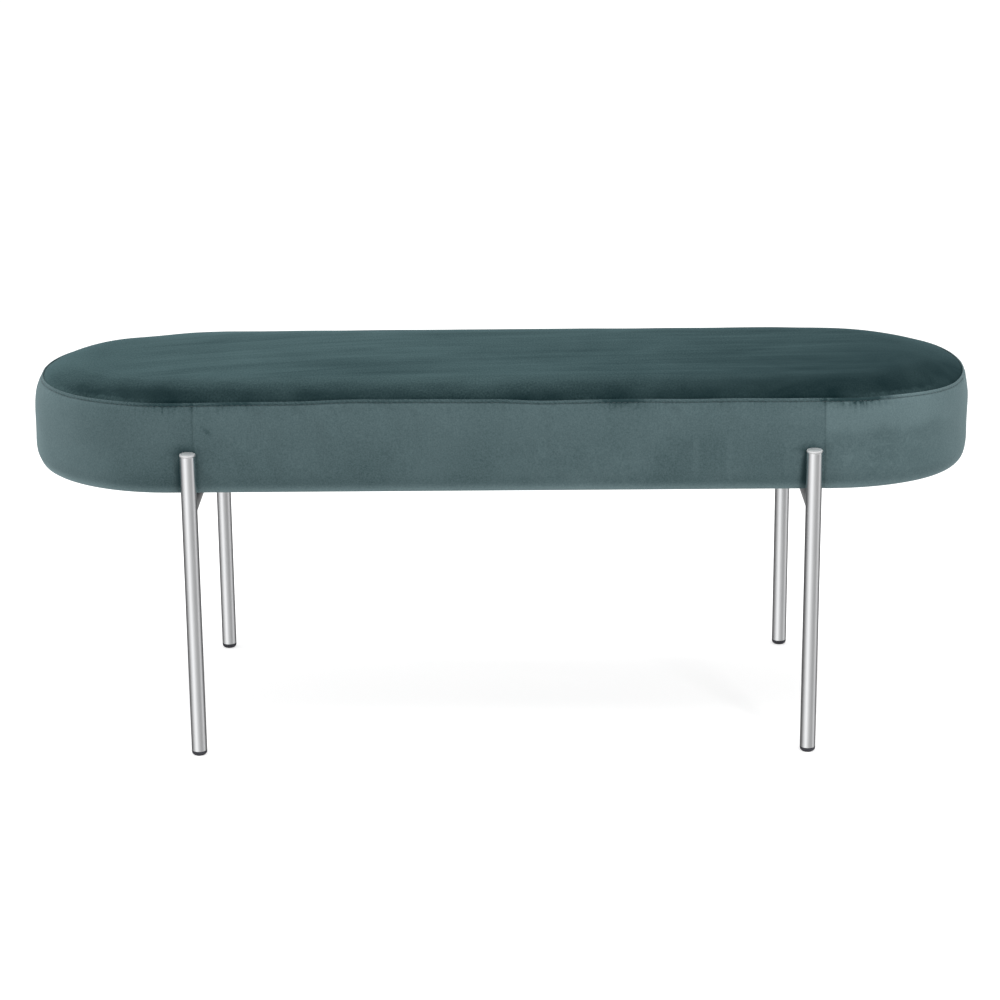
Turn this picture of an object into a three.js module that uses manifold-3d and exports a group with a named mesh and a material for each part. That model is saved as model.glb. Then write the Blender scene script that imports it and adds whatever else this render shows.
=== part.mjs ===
// Upholstered bench: a stadium-shaped velvet seat carried by two tube side frames.
// Millimetres, +Z up, +X along the seat, front at -Y, origin on the floor under the middle.
import * as THREE from 'three';
import { mergeVertices } from 'three/addons/utils/BufferGeometryUtils.js';
import Module from 'manifold-3d';

const wasm = await Module();
wasm.setup();

// Seat, measured over the cover
const seatLength = 1170;
const seatWidth = 370;
const bandHeight = 113.3;
const crownRise = 13.8;
const crownRun = 67;
const seamInset = 9;
const sideCurvePower = 4;
const lowerEdgeInset = 9;
const lowerEdgeHeight = 30;

// Cover: top panel, and a band in four panels with a folded, top-stitched upper edge
const clothThickness = 1.6;
const foldWidth = 5;
const foldRaise = 1;
const hemDrop = 7;
const flangeWidth = 36;
const seamSetback = 21;
const coverShift = 9.5;

// Padding
const waddingThickness = 5;
const sideFoamThickness = 14;
const slabEdgeHeight = 43.5;

// Timber carcass
const boardThickness = 12;
const railThickness = 18;
const rimThickness = 12;
const deckThickness = 5;
const ribThickness = 18;
const ribCount = 4;
const ribFromLeg = 60;
const dustCoverThickness = 0.8;
const dustCoverInset = 30;

// Tube side frames
const tubeDiameter = 19;
const tubeWall = 1.2;
const legSetback = 25;
const legHeight = 385;
const legRise = 53.8;
const weldRadius = 2;
const capThickness = 2.5;
const capChamfer = 1;
const capPlugDepth = 8;
const plugFit = 0.35;
const footHeight = 5.5;
const footPadRadius = 6.5;
const footEdgeHeight = 2.6;
const footEdgeRadius = 9;
const footPlugDepth = 16;
const footRibDepth = 1.2;
const footRibCount = 3;

// Plates, bolts and tee nuts that hold the seat down
const plateLength = 64;
const plateWidth = 36;
const plateThickness = 4;
const plateCorner = 6;
const plateFromLeg = 85;
const plateWeldLength = 24;
const plateWeldReach = 9;
const boltRadius = 3;
const boltEdge = 12;
const boltHeadRadius = 5.25;
const boltHeadHeight = 3.3;
const boltCrownRadius = 3.4;
const boltRimHeight = 1.1;
const boltProud = 1;
const socketWidth = 4;
const socketDepth = 2;
const holeClearance = 0.4;
const nutBarrelRadius = 4;
const nutBarrelLength = 9;
const nutFlangeRadius = 9.5;
const nutFlangeThickness = 1.4;

// Gap between neighbours that touch, and how far a cutter runs past what it cuts
const gap = 0.3;
const overrun = 2;

// Facets
const arcSteps = 24;
const tubeSteps = 24;
const smallSteps = 12;
const beadSteps = 20;
const beadSides = 6;
const edgeSteps = 5;
const sideSteps = 6;
const crownSteps = 6;
const cornerSteps = 4;

const quarterTurn = Math.PI / 2;
const fullTurn = Math.PI * 2;

// Places that follow from the sizes above
const endRadius = seatWidth / 2;
const straightHalf = seatLength / 2 - endRadius;
const tubeRadius = tubeDiameter / 2;
const boreRadius = tubeRadius - tubeWall;
const legX = straightHalf - legSetback;
const legY = endRadius + gap + tubeRadius;
const bandSeamX = straightHalf - seamSetback;
const coverDepth = clothThickness + gap;
const hemInset = seamInset + coverDepth;
const carcassInset = coverDepth + sideFoamThickness + gap;

const seatBottom = legHeight - legRise;
const seamHeight = seatBottom + bandHeight;
const slabBottom = seamHeight - slabEdgeHeight;
const deckBottom = slabBottom - gap - deckThickness;
const boardBottom = seatBottom + coverDepth;
const boardTop = boardBottom + boardThickness;
const railBottom = boardTop + gap;
const railHeight = deckBottom - gap - railBottom;

const dustCoverBottom = seatBottom - gap - dustCoverThickness;
const plateBottom = dustCoverBottom - gap - plateThickness;
const barHeight = plateBottom - gap - tubeRadius;
const plateY = legY - plateFromLeg;
const boltReach = plateLength / 2 - boltEdge;

// Finishes
const finishes = {
  velvet: { color: 0x56696c, roughness: 0.95, metalness: 0 },
  wadding: { color: 0xe9e7e1, roughness: 1, metalness: 0 },
  foam: { color: 0xe3d9b5, roughness: 1, metalness: 0 },
  plywood: { color: 0xc9a674, roughness: 0.7, metalness: 0 },
  softwood: { color: 0xd8bd8a, roughness: 0.75, metalness: 0 },
  hardboard: { color: 0x7a5638, roughness: 0.8, metalness: 0 },
  dustCloth: { color: 0x1d1e20, roughness: 0.95, metalness: 0 },
  polishedTube: { color: 0xd4d6d8, roughness: 0.16, metalness: 1 },
  rawSteel: { color: 0x9a9c9e, roughness: 0.45, metalness: 1 },
  zinc: { color: 0xb6b9bd, roughness: 0.35, metalness: 1 },
  footPlastic: { color: 0x34343a, roughness: 0.6, metalness: 0 },
};

// A named mesh with one of the finishes
function piece(name, finish, geometry) {
  const mesh = new THREE.Mesh(geometry, new THREE.MeshStandardMaterial(finishes[finish]));
  mesh.name = name;
  return mesh;
}

// Signed volume of an indexed geometry
function signedVolume(geometry) {
  const corner = [new THREE.Vector3(), new THREE.Vector3(), new THREE.Vector3()];
  let sum = 0;
  for (let i = 0; i < geometry.index.count; i += 3) {
    corner.forEach((point, k) => {
      point.fromBufferAttribute(geometry.attributes.position, geometry.index.getX(i + k));
    });
    sum += corner[0].dot(corner[1].cross(corner[2]));
  }
  return sum;
}

// A closed body through equal closed rings of points, capped at both ends.
// capOutline is the end rings' shape in their own plane.
function loft(rings, capOutline) {
  const size = rings[0].length;
  const last = (rings.length - 1) * size;
  const flip = THREE.ShapeUtils.isClockWise(capOutline);
  const triangles = [];
  for (let i = 0; i < last; i += size) {
    for (let j = 0; j < size; j++) {
      const next = (j + 1) % size;
      triangles.push([i + j, i + next, i + size + next]);
      triangles.push([i + j, i + size + next, i + size + j]);
    }
  }
  for (const [a, b, c] of THREE.ShapeUtils.triangulateShape(capOutline, [])) {
    const cap = flip ? [a, b, c] : [c, b, a];
    triangles.push(cap);
    triangles.push(cap.toReversed().map((corner) => corner + last));
  }
  const geometry = new THREE.BufferGeometry();
  geometry.setAttribute('position', new THREE.Float32BufferAttribute(rings.flat(2), 3));
  geometry.setIndex(triangles.flat());
  if (signedVolume(geometry) < 0) {
    geometry.setIndex(triangles.map((corners) => corners.toReversed()).flat());
  }
  geometry.computeVertexNormals();
  return geometry;
}

// Stations on the seat outline: a centre on the X axis and the direction out of the seat
function arcStations(x, startAngle, endAngle) {
  const turn = (endAngle - startAngle) / arcSteps;
  return Array.from({ length: arcSteps + 1 }, (unused, i) => ({ x, angle: startAngle + turn * i }));
}

const rightArc = arcStations(straightHalf, -quarterTurn, quarterTurn);
const leftArc = arcStations(-straightHalf, quarterTurn, 3 * quarterTurn);
const wholeOutline = [...rightArc, ...leftArc];

// The point at a station that lies an inset inside the outline, at a height
function outlinePoint(station, [inset, z]) {
  const radius = endRadius - inset;
  return [station.x + radius * Math.cos(station.angle), radius * Math.sin(station.angle), z];
}

// A body whose rings all follow the whole outline: an open profile, capped flat at both ends
function roundBody(profile) {
  const rings = profile.map((point) => wholeOutline.map((station) => outlinePoint(station, point)));
  return loft(rings, rings[0].map(([x, y]) => new THREE.Vector2(x, y)));
}

// A strip along part of the outline: a closed profile at each station
function strip(profile, stations) {
  const rings = stations.map((station) => profile.map((point) => outlinePoint(station, point)));
  return loft(rings, profile.map(([inset, z]) => new THREE.Vector2(inset, z)));
}

// The flat outline itself, as a shape that can take holes
function outlineShape(inset) {
  const corners = wholeOutline.map((station) => outlinePoint(station, [inset, 0]));
  return new THREE.Shape(corners.map(([x, y]) => new THREE.Vector2(x, y)));
}

// A profile moved inward by a distance, square to its own line
function inward(profile, distance) {
  const normals = profile.slice(1).map(([inset, z], i) => {
    const run = inset - profile[i][0];
    const rise = z - profile[i][1];
    const length = Math.hypot(run, rise);
    return [-rise / length, run / length];
  });
  return profile.map(([inset, z], i) => {
    const before = normals[Math.max(i - 1, 0)];
    const after = normals[Math.min(i, normals.length - 1)];
    const sum = [before[0] + after[0], before[1] + after[1]];
    const scale = 2 * distance / (sum[0] ** 2 + sum[1] ** 2);
    return [inset - sum[0] * scale, z - sum[1] * scale];
  });
}

// The stretch of a profile whose coordinate on an axis lies between two limits
function between(profile, axis, low, high) {
  const stretch = [];
  profile.forEach((point, i) => {
    const previous = profile[i - 1];
    const crossings = previous ? [low, high].filter((limit) => {
      return (previous[axis] - limit) * (point[axis] - limit) < 0;
    }) : [];
    crossings.sort((a, b) => Math.abs(a - previous[axis]) - Math.abs(b - previous[axis]));
    for (const limit of crossings) {
      const share = (limit - previous[axis]) / (point[axis] - previous[axis]);
      stretch.push(point.map((value, k) => previous[k] + (value - previous[k]) * share));
    }
    if (point[axis] >= low && point[axis] <= high) stretch.push(point);
  });
  return stretch;
}

// Inset and height along the round lower edge, then up the side that draws in to the seam
function sideLine() {
  const line = [];
  for (let i = 0; i <= edgeSteps; i++) {
    const turn = quarterTurn * i / edgeSteps;
    const inset = lowerEdgeInset * (1 - Math.sin(turn));
    line.push([inset, seatBottom + lowerEdgeHeight * (1 - Math.cos(turn))]);
  }
  const low = seatBottom + lowerEdgeHeight;
  for (let i = 1; i <= sideSteps; i++) {
    const share = i / sideSteps;
    line.push([seamInset * share ** sideCurvePower, low + (seamHeight - low) * share]);
  }
  return line;
}

// Inset and height over the crown, from the seam to the edge of the flat middle
function crownLine() {
  return Array.from({ length: crownSteps + 1 }, (unused, i) => {
    const share = i / crownSteps;
    return [hemInset + crownRun * share, seamHeight + crownRise * (1 - (1 - share) ** 2)];
  });
}

// The band's section: turned under at the bottom, with the raised fold along its upper edge
function bandSection() {
  const flangeEnd = [lowerEdgeInset + flangeWidth, seatBottom];
  const line = [flangeEnd, ...sideLine()];
  const foldBottom = seamHeight - foldWidth;
  const below = between(line, 1, seatBottom, foldBottom);
  const fold = between(line, 1, foldBottom, seamHeight).map(([inset, z]) => [inset - foldRaise, z]);
  return [...below, ...fold, line.at(-1), ...inward(line, clothThickness).toReversed()];
}

// Stations of one end panel of the band, from its front seam to its rear seam
function endStations(side) {
  const seamX = side * (bandSeamX - gap / 2) + coverShift;
  const arc = side > 0 ? rightArc : leftArc;
  const start = { x: seamX + side * gap, angle: arc[0].angle };
  const end = { x: seamX + side * gap, angle: arc.at(-1).angle };
  return [start, ...arc, end];
}

// Stations of the front (-1) or rear (+1) panel of the band
function straightStations(face, reach, shift) {
  return [-1, 1].map((side) => ({ x: side * reach + shift, angle: face * quarterTurn }));
}

function makeCover() {
  const section = bandSection();
  const reach = bandSeamX - gap / 2;
  const topLine = [[hemInset, seamHeight - hemDrop], ...crownLine()];
  const topShell = [...inward(topLine, clothThickness).toReversed(), ...topLine];
  return [
    piece('cover_top', 'velvet', roundBody(topShell)),
    piece('cover_front_band', 'velvet', strip(section, straightStations(-1, reach, coverShift))),
    piece('cover_rear_band', 'velvet', strip(section, straightStations(1, reach, coverShift))),
    piece('cover_left_band', 'velvet', strip(section, endStations(-1))),
    piece('cover_right_band', 'velvet', strip(section, endStations(1))),
  ];
}

// Fibre layer between the crown of the foam and the cover
function makeWadding() {
  const edge = hemInset + coverDepth;
  const top = inward(crownLine(), coverDepth);
  const underside = inward(crownLine(), coverDepth + waddingThickness);
  const lower = between(underside, 0, edge, endRadius);
  const upper = between(top, 0, edge, endRadius);
  return piece('top_wadding', 'wadding', roundBody([...lower.toReversed(), ...upper]));
}

// Crowned foam slab, rebated under the hem of the cover's top panel
function makeFoamSlab() {
  const crown = inward(crownLine(), coverDepth + waddingThickness + gap);
  const ledge = Math.min(seamHeight - hemDrop, crown[0][1]) - gap;
  const side = between(inward(sideLine(), coverDepth), 1, slabBottom, ledge);
  return piece('foam_slab', 'foam', roundBody([...side, [crown[0][0], ledge], ...crown]));
}

// Foam strips round the carcass, from the board's underside to the slab
function makeSideFoam() {
  const bottom = boardBottom;
  const top = slabBottom - gap;
  const outer = between(inward(sideLine(), coverDepth), 1, bottom, top);
  const section = [...outer, [carcassInset - gap, top], [carcassInset - gap, bottom]];
  const reach = straightHalf - gap;
  return [
    piece('side_foam_front', 'foam', strip(section, straightStations(-1, reach, 0))),
    piece('side_foam_rear', 'foam', strip(section, straightStations(1, reach, 0))),
    piece('side_foam_left', 'foam', strip(section, leftArc)),
    piece('side_foam_right', 'foam', strip(section, rightArc)),
  ];
}

// Every place of a bolt: the four plates, two bolts each
const plateSpots = [-1, 1].flatMap((side) => [-1, 1].map((face) => ({ side, face })));
const boltSpots = plateSpots.flatMap(({ side, face }) => [-1, 1].map((hand) => {
  return new THREE.Vector2(side * legX + hand * boltReach, face * plateY);
}));

// A flat body of one thickness. A circle gets two points for each of curveSegments.
function slab(shape, thickness) {
  const settings = { depth: thickness, bevelEnabled: false, curveSegments: smallSteps / 2 };
  return new THREE.ExtrudeGeometry(shape, settings);
}

// A flat board of the outline's shape with a hole at every bolt
function drilledBoard(inset, thickness, holeRadius) {
  const shape = outlineShape(inset);
  shape.holes = boltSpots.map(({ x, y }) => new THREE.Path().absarc(x, y, holeRadius, 0, fullTurn));
  return slab(shape, thickness);
}

function makeBoards() {
  const base = drilledBoard(carcassInset, boardThickness, nutBarrelRadius + gap);
  base.translate(0, 0, boardBottom);
  const dustCover = drilledBoard(dustCoverInset, dustCoverThickness, boltRadius + holeClearance);
  dustCover.translate(0, 0, dustCoverBottom);
  const deckEdge = [[carcassInset, deckBottom], [carcassInset, deckBottom + deckThickness]];
  return [
    piece('base_board', 'plywood', base),
    piece('deck_board', 'hardboard', roundBody(deckEdge)),
    piece('dust_cover', 'dustCloth', dustCover),
  ];
}

// Straight rails, bent end rims and cross ribs standing on the base board
function makeCarcass() {
  const railZ = railBottom + railHeight / 2;
  const railY = endRadius - carcassInset - railThickness / 2;
  const rimSection = [
    [carcassInset, railBottom],
    [carcassInset, railBottom + railHeight],
    [carcassInset + rimThickness, railBottom + railHeight],
    [carcassInset + rimThickness, railBottom],
  ];
  const parts = [
    piece('left_end_rim', 'plywood', strip(rimSection, leftArc)),
    piece('right_end_rim', 'plywood', strip(rimSection, rightArc)),
  ];
  for (const [name, face] of [['front_rail', -1], ['rear_rail', 1]]) {
    const size = [2 * (straightHalf - gap), railThickness, railHeight];
    const rail = piece(name, 'softwood', new THREE.BoxGeometry(...size));
    rail.position.set(0, face * railY, railZ);
    parts.push(rail);
  }
  const ribSpan = 2 * (railY - railThickness / 2 - gap);
  const ribReach = legX - ribFromLeg;
  for (let i = 0; i < ribCount; i++) {
    const size = [ribThickness, ribSpan, railHeight];
    const rib = piece(`cross_rib_${i + 1}`, 'softwood', new THREE.BoxGeometry(...size));
    rib.position.set(ribReach * (2 * i / (ribCount - 1) - 1), 0, railZ);
    parts.push(rib);
  }
  return parts;
}

// A turned body: radius and height pairs, on the axis at both ends or closed on themselves
function turned(profile, steps) {
  const points = profile.map(([radius, z]) => new THREE.Vector2(radius, z));
  return new THREE.LatheGeometry(points, steps).rotateX(quarterTurn);
}

function tube(length) {
  return turned([
    [boreRadius, 0],
    [tubeRadius, 0],
    [tubeRadius, length],
    [boreRadius, length],
    [boreRadius, 0],
  ], tubeSteps);
}

// A closed geometry as a solid that can be joined and cut
function toSolid(geometry) {
  const bare = geometry.clone();
  bare.deleteAttribute('normal');
  bare.deleteAttribute('uv');
  const merged = mergeVertices(bare);
  const corners = [];
  for (let i = 0; i < merged.index.count; i += 3) {
    const [a, b, c] = merged.index.array.slice(i, i + 3);
    if (a !== b && b !== c && c !== a) corners.push(a, b, c);
  }
  return new wasm.Manifold(new wasm.Mesh({
    numProp: 3,
    vertProperties: merged.attributes.position.array,
    triVerts: Uint32Array.from(corners),
  }));
}

function fromSolid(solid) {
  const { vertProperties, triVerts } = solid.getMesh();
  const geometry = new THREE.BufferGeometry();
  geometry.setAttribute('position', new THREE.BufferAttribute(vertProperties, 3));
  geometry.setIndex(new THREE.BufferAttribute(triVerts, 1));
  geometry.computeVertexNormals();
  return geometry;
}

// A weld bead round the bar's end, bent to lie on the leg's round wall
function weldBead(face) {
  const ring = new THREE.TorusGeometry(tubeRadius, weldRadius, beadSides, beadSteps);
  ring.rotateX(quarterTurn);
  const points = ring.attributes.position;
  const wallRadius = tubeRadius + gap;
  for (let i = 0; i < points.count; i++) {
    const x = points.getX(i) * tubeRadius / Math.hypot(points.getX(i), points.getZ(i));
    const setback = Math.sqrt(wallRadius ** 2 - x ** 2);
    points.setY(i, points.getY(i) + face * (legY - setback));
  }
  return toSolid(ring);
}

// Crossbar from front leg to rear leg, its ends coped round the legs and welded
function crossbar() {
  let solid = toSolid(tube(2 * legY).rotateX(quarterTurn).translate(0, legY, 0));
  for (const face of [-1, 1]) solid = solid.add(weldBead(face));
  for (const face of [-1, 1]) {
    const height = 2 * (tubeRadius + weldRadius + overrun);
    const leg = new THREE.CylinderGeometry(tubeRadius + gap, tubeRadius + gap, height, tubeSteps);
    solid = solid.subtract(toSolid(leg.rotateX(quarterTurn).translate(0, face * legY, 0)));
  }
  return fromSolid(solid);
}

// Plate outline with rounded corners
function plateOutline() {
  const x = plateLength / 2 - plateCorner;
  const y = plateWidth / 2 - plateCorner;
  const centres = [[x, y], [-x, y], [-x, -y], [x, -y]];
  const points = centres.flatMap(([centreX, centreY], quarter) => {
    return Array.from({ length: cornerSteps + 1 }, (unused, i) => {
      const angle = quarterTurn * (quarter + i / cornerSteps);
      const offset = new THREE.Vector2(Math.cos(angle), Math.sin(angle)).multiplyScalar(plateCorner);
      return offset.add(new THREE.Vector2(centreX, centreY));
    });
  });
  return new THREE.Shape(points);
}

// Mounting plate with its two holes and the welds that fill in to the round of the bar
function mountingPlate() {
  const shape = plateOutline();
  const holeRadius = boltRadius + holeClearance;
  shape.holes = [-1, 1].map((hand) => {
    return new THREE.Path().absarc(hand * boltReach, 0, holeRadius, 0, fullTurn);
  });
  const plate = slab(shape, plateThickness).translate(0, 0, plateBottom - barHeight);
  const fillet = new THREE.Shape([
    new THREE.Vector2(0, 0),
    new THREE.Vector2(plateWeldReach, plateBottom - barHeight + gap),
    new THREE.Vector2(-plateWeldReach, plateBottom - barHeight + gap),
  ]);
  const weld = slab(fillet, plateWeldLength);
  weld.translate(0, 0, -plateWeldLength / 2).rotateX(quarterTurn);
  const barCutter = new THREE.CylinderGeometry(
    tubeRadius + gap / 2, tubeRadius + gap / 2, plateWidth + overrun, tubeSteps,
  );
  return fromSolid(toSolid(plate).add(toSolid(weld)).subtract(toSolid(barCutter)));
}

// Barbed plug that grips the bore: radius and height pairs, from the foot up into the tube
function plugProfile() {
  const crest = boreRadius - plugFit;
  const root = crest - footRibDepth;
  const pitch = footPlugDepth / footRibCount;
  return Array.from({ length: footRibCount }, (unused, i) => {
    return [[crest, footHeight + pitch * i], [root, footHeight + pitch * (i + 1)]];
  }).flat();
}

function foot() {
  const profile = [
    [0, 0],
    [footPadRadius, 0],
    [footEdgeRadius, footEdgeHeight],
    [tubeRadius, footHeight],
    ...plugProfile(),
    [0, footHeight + footPlugDepth],
  ];
  return turned(profile, tubeSteps);
}

// Flat steel cap with a small chamfer, closing the top of a leg
function legCap() {
  const bottom = legHeight - capThickness;
  return turned([
    [0, bottom - capPlugDepth],
    [boreRadius - plugFit, bottom - capPlugDepth],
    [boreRadius - plugFit, bottom],
    [tubeRadius, bottom],
    [tubeRadius, legHeight - capChamfer],
    [tubeRadius - capChamfer, legHeight],
    [0, legHeight],
  ], tubeSteps);
}

// Button-head bolt with a hexagon socket, driven up through the plate
function bolt() {
  const seat = plateBottom - gap;
  const headBottom = seat - boltHeadHeight;
  const tip = boardTop + boltProud;
  const body = turned([
    [0, headBottom],
    [boltCrownRadius, headBottom],
    [boltHeadRadius, seat - boltRimHeight],
    [boltHeadRadius, seat],
    [boltRadius, seat],
    [boltRadius, tip],
    [0, tip],
  ], smallSteps);
  const socketRadius = socketWidth / Math.sqrt(3);
  const socket = new THREE.CylinderGeometry(socketRadius, socketRadius, 2 * socketDepth, 6);
  socket.rotateX(quarterTurn).translate(0, 0, headBottom);
  return fromSolid(toSolid(body).subtract(toSolid(socket)));
}

// Tee nut let into the base board from above
function teeNut() {
  const bore = boltRadius + holeClearance / 2;
  const flangeBottom = boardTop + gap;
  return turned([
    [bore, flangeBottom - nutBarrelLength],
    [nutBarrelRadius, flangeBottom - nutBarrelLength],
    [nutBarrelRadius, flangeBottom],
    [nutFlangeRadius, flangeBottom],
    [nutFlangeRadius, flangeBottom + nutFlangeThickness],
    [bore, flangeBottom + nutFlangeThickness],
    [bore, flangeBottom - nutBarrelLength],
  ], smallSteps);
}

// One side frame: front and rear legs, their caps and feet, the crossbar and its plates
function makeSideFrame(sideName, side) {
  const frame = new THREE.Group();
  frame.position.x = side * legX;
  const tubeLength = legHeight - capThickness - footHeight - 2 * gap;
  for (const [faceName, face] of [['front', -1], ['rear', 1]]) {
    const place = `${faceName}_${sideName}`;
    const leg = piece(`leg_${place}`, 'polishedTube', tube(tubeLength));
    leg.position.z = footHeight + gap;
    const corner = new THREE.Group();
    corner.position.y = face * legY;
    corner.add(leg, piece(`leg_cap_${place}`, 'polishedTube', legCap()));
    corner.add(piece(`foot_${place}`, 'footPlastic', foot()));
    frame.add(corner);
    const plate = piece(`mounting_plate_${place}`, 'rawSteel', mountingPlate());
    plate.position.set(0, face * plateY, barHeight);
    frame.add(plate);
  }
  const bar = piece(`crossbar_${sideName}`, 'polishedTube', crossbar());
  bar.position.z = barHeight;
  frame.add(bar);
  return frame;
}

// A bolt and a tee nut at every bolt place
function makeFixings() {
  return boltSpots.flatMap(({ x, y }, i) => {
    const pair = [piece(`bolt_${i + 1}`, 'zinc', bolt()), piece(`tee_nut_${i + 1}`, 'zinc', teeNut())];
    pair.forEach((fixing) => fixing.position.set(x, y, 0));
    return pair;
  });
}

const bench = new THREE.Group();
bench.add(...makeCover(), makeWadding(), makeFoamSlab(), ...makeSideFoam());
bench.add(...makeBoards(), ...makeCarcass(), ...makeFixings());
bench.add(makeSideFrame('left', -1), makeSideFrame('right', 1));

export default bench;
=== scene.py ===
# Velvet bench: a stitched stadium cushion on four polished tube legs.
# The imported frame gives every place. This file makes the cover, padding, sewing and finishes.
import math

import bmesh
import bpy
import numpy as np
from mathutils import Matrix, Vector
from mathutils.geometry import delaunay_2d_cdt


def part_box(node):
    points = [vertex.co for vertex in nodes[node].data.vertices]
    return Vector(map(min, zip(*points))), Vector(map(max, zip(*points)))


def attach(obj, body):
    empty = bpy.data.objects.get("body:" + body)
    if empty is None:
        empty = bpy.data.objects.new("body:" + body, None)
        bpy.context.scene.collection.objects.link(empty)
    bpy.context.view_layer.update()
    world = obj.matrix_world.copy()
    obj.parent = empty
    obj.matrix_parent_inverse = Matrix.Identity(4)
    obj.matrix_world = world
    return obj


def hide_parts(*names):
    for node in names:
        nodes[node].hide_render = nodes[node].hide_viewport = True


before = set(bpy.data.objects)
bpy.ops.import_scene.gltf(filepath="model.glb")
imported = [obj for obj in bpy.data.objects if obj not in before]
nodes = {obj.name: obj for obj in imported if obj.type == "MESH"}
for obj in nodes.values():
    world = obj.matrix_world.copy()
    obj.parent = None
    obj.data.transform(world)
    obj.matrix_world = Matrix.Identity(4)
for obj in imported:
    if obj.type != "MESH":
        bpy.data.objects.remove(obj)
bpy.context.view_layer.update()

scene = bpy.context.scene
mm = 0.001
quarterTurn = math.pi / 2
fullTurn = math.pi * 2
sides = ("left", "right")
faces = {"front": -1, "rear": 1}
print("frame loaded:", len(nodes), "nodes")


# Small helpers

def inMetres(sizes):
    # a dictionary of sizes in millimetres, made metres
    return {name: size * mm for name, size in sizes.items()}


def srgb(*values):
    # a colour as it reads on screen, 0 to 255, made linear for a shader
    shares = [value / 255 for value in values]
    return (*(s / 12.92 if s <= 0.04045 else ((s + 0.055) / 1.055) ** 2.4 for s in shares), 1.0)


def smoothStep(value, low, high):
    share = np.clip((value - low) / (high - low), 0, 1)
    return share * share * (3 - 2 * share)


def window(value, rise, fall):
    # up over one range and down over another
    return smoothStep(value, *rise) * smoothStep(value, *fall)


def hump(distance, width):
    return np.exp(-(distance / width) ** 2)


def curveThrough(keys, values, at):
    # smooth line through keyed values, along the first axis
    slopes = np.gradient(values, keys, axis=0)
    i = np.clip(np.searchsorted(keys, at) - 1, 0, len(keys) - 2)
    step = keys[i + 1] - keys[i]
    s = np.clip((at - keys[i]) / step, 0, 1)
    shape = (...,) + (None,) * (values.ndim - 1)
    s, step = s[shape], step[shape]
    start = (1 + 2 * s) * (1 - s) ** 2 * values[i] + s * (1 - s) ** 2 * step * slopes[i]
    return start + s * s * (3 - 2 * s) * values[i + 1] - s * s * (1 - s) * step * slopes[i + 1]


def softNoise(seed, wavelength, *coords):
    # smooth random field of about -1 to 1, a sum of seeded waves
    rng = np.random.default_rng(seed)
    total = 0
    waves = 14
    for _ in range(waves):
        direction = rng.normal(size=len(coords))
        direction /= np.linalg.norm(direction)
        rate = fullTurn / (wavelength * rng.uniform(0.7, 1.6))
        phase = rng.uniform(0, fullTurn)
        total = total + np.cos(phase + rate * sum(d * c for d, c in zip(direction, coords)))
    return total / math.sqrt(waves)


def noiseOver(seed, wavelength, points):
    return softNoise(seed, wavelength, *np.moveaxis(points, -1, 0))


def spots(table, across, down):
    # soft spots: place and reach both ways in millimetres, then the strength
    return sum(strength * hump(across - x * mm, wide * mm) * hump(down - y * mm, tall * mm)
               for x, y, wide, tall, strength in table)


def patches(table, across):
    # the same along one line: place and reach in millimetres, then the strength
    return sum(strength * hump(across - x * mm, reach * mm) for x, reach, strength in table)


def evenTurns(count):
    return np.arange(count) * fullTurn / count


def together(*parts):
    # coordinates of any matching shapes, as points
    return np.stack(np.broadcast_arrays(*parts), -1)


def link(name, data):
    obj = bpy.data.objects.new(name, data)
    scene.collection.objects.link(obj)
    return obj


def setSmooth(mesh, smooth=True):
    mesh.polygons.foreach_set("use_smooth", [smooth] * len(mesh.polygons))


def newMesh(name, points, polygons, material, smooth=True):
    mesh = bpy.data.meshes.new(name)
    points = [tuple(point) for point in np.reshape(points, (-1, 3))]
    mesh.from_pydata(points, [], [tuple(int(i) for i in polygon) for polygon in polygons])
    mesh.update()
    setSmooth(mesh, smooth)
    mesh.materials.append(material)
    return link(name, mesh)


def gridMesh(name, points, material, closedRows=False, closedColumns=True, filled=False, smooth=True):
    # a mesh over rows of points, with its first and last row filled if asked
    rows, columns = np.shape(points)[:2]
    i, j = np.indices((rows - (not closedRows), columns - (not closedColumns)))
    down, right = (i + 1) % rows, (j + 1) % columns
    quads = np.stack([i * columns + j, i * columns + right, down * columns + right, down * columns + j], -1)
    ends = [range(columns)[::-1], range((rows - 1) * columns, rows * columns)] if filled else []
    return newMesh(name, points, [*quads.reshape(-1, 4), *ends], material, smooth)


def closedBody(name, rings, material):
    # a body through rings of points, its ends made triangles
    obj = gridMesh(name, rings, material, filled=True)
    bm = bmesh.new()
    bm.from_mesh(obj.data)
    bmesh.ops.triangulate(bm, faces=[face for face in bm.faces if len(face.verts) > 4])
    bmesh.ops.recalc_face_normals(bm, faces=bm.faces)
    bm.to_mesh(obj.data)
    bm.free()
    return obj


def tidyMesh(obj, sharpDegrees=40):
    # doubles merged, faces turned outwards, edges past an angle left crisp
    merge = 0.01 * mm
    bm = bmesh.new()
    bm.from_mesh(obj.data)
    bmesh.ops.remove_doubles(bm, verts=bm.verts, dist=merge)
    bmesh.ops.dissolve_degenerate(bm, edges=bm.edges, dist=merge / 10)
    bmesh.ops.recalc_face_normals(bm, faces=bm.faces)
    for edge in bm.edges:
        edge.smooth = len(edge.link_faces) < 2 or edge.calc_face_angle(0) < math.radians(sharpDegrees)
    bm.to_mesh(obj.data)
    bm.free()
    return obj


def coordsOf(obj):
    return np.array([vertex.co for vertex in obj.data.vertices])


def loopVertices(obj):
    indices = np.zeros(len(obj.data.loops), np.int32)
    obj.data.loops.foreach_get("vertex_index", indices)
    return indices


def setUv(obj, perLoop):
    # the piece's own UV map, in metres
    obj.data.uv_layers.new(name="UVMap").data.foreach_set("uv", perLoop.astype(np.float32).ravel())


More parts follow.
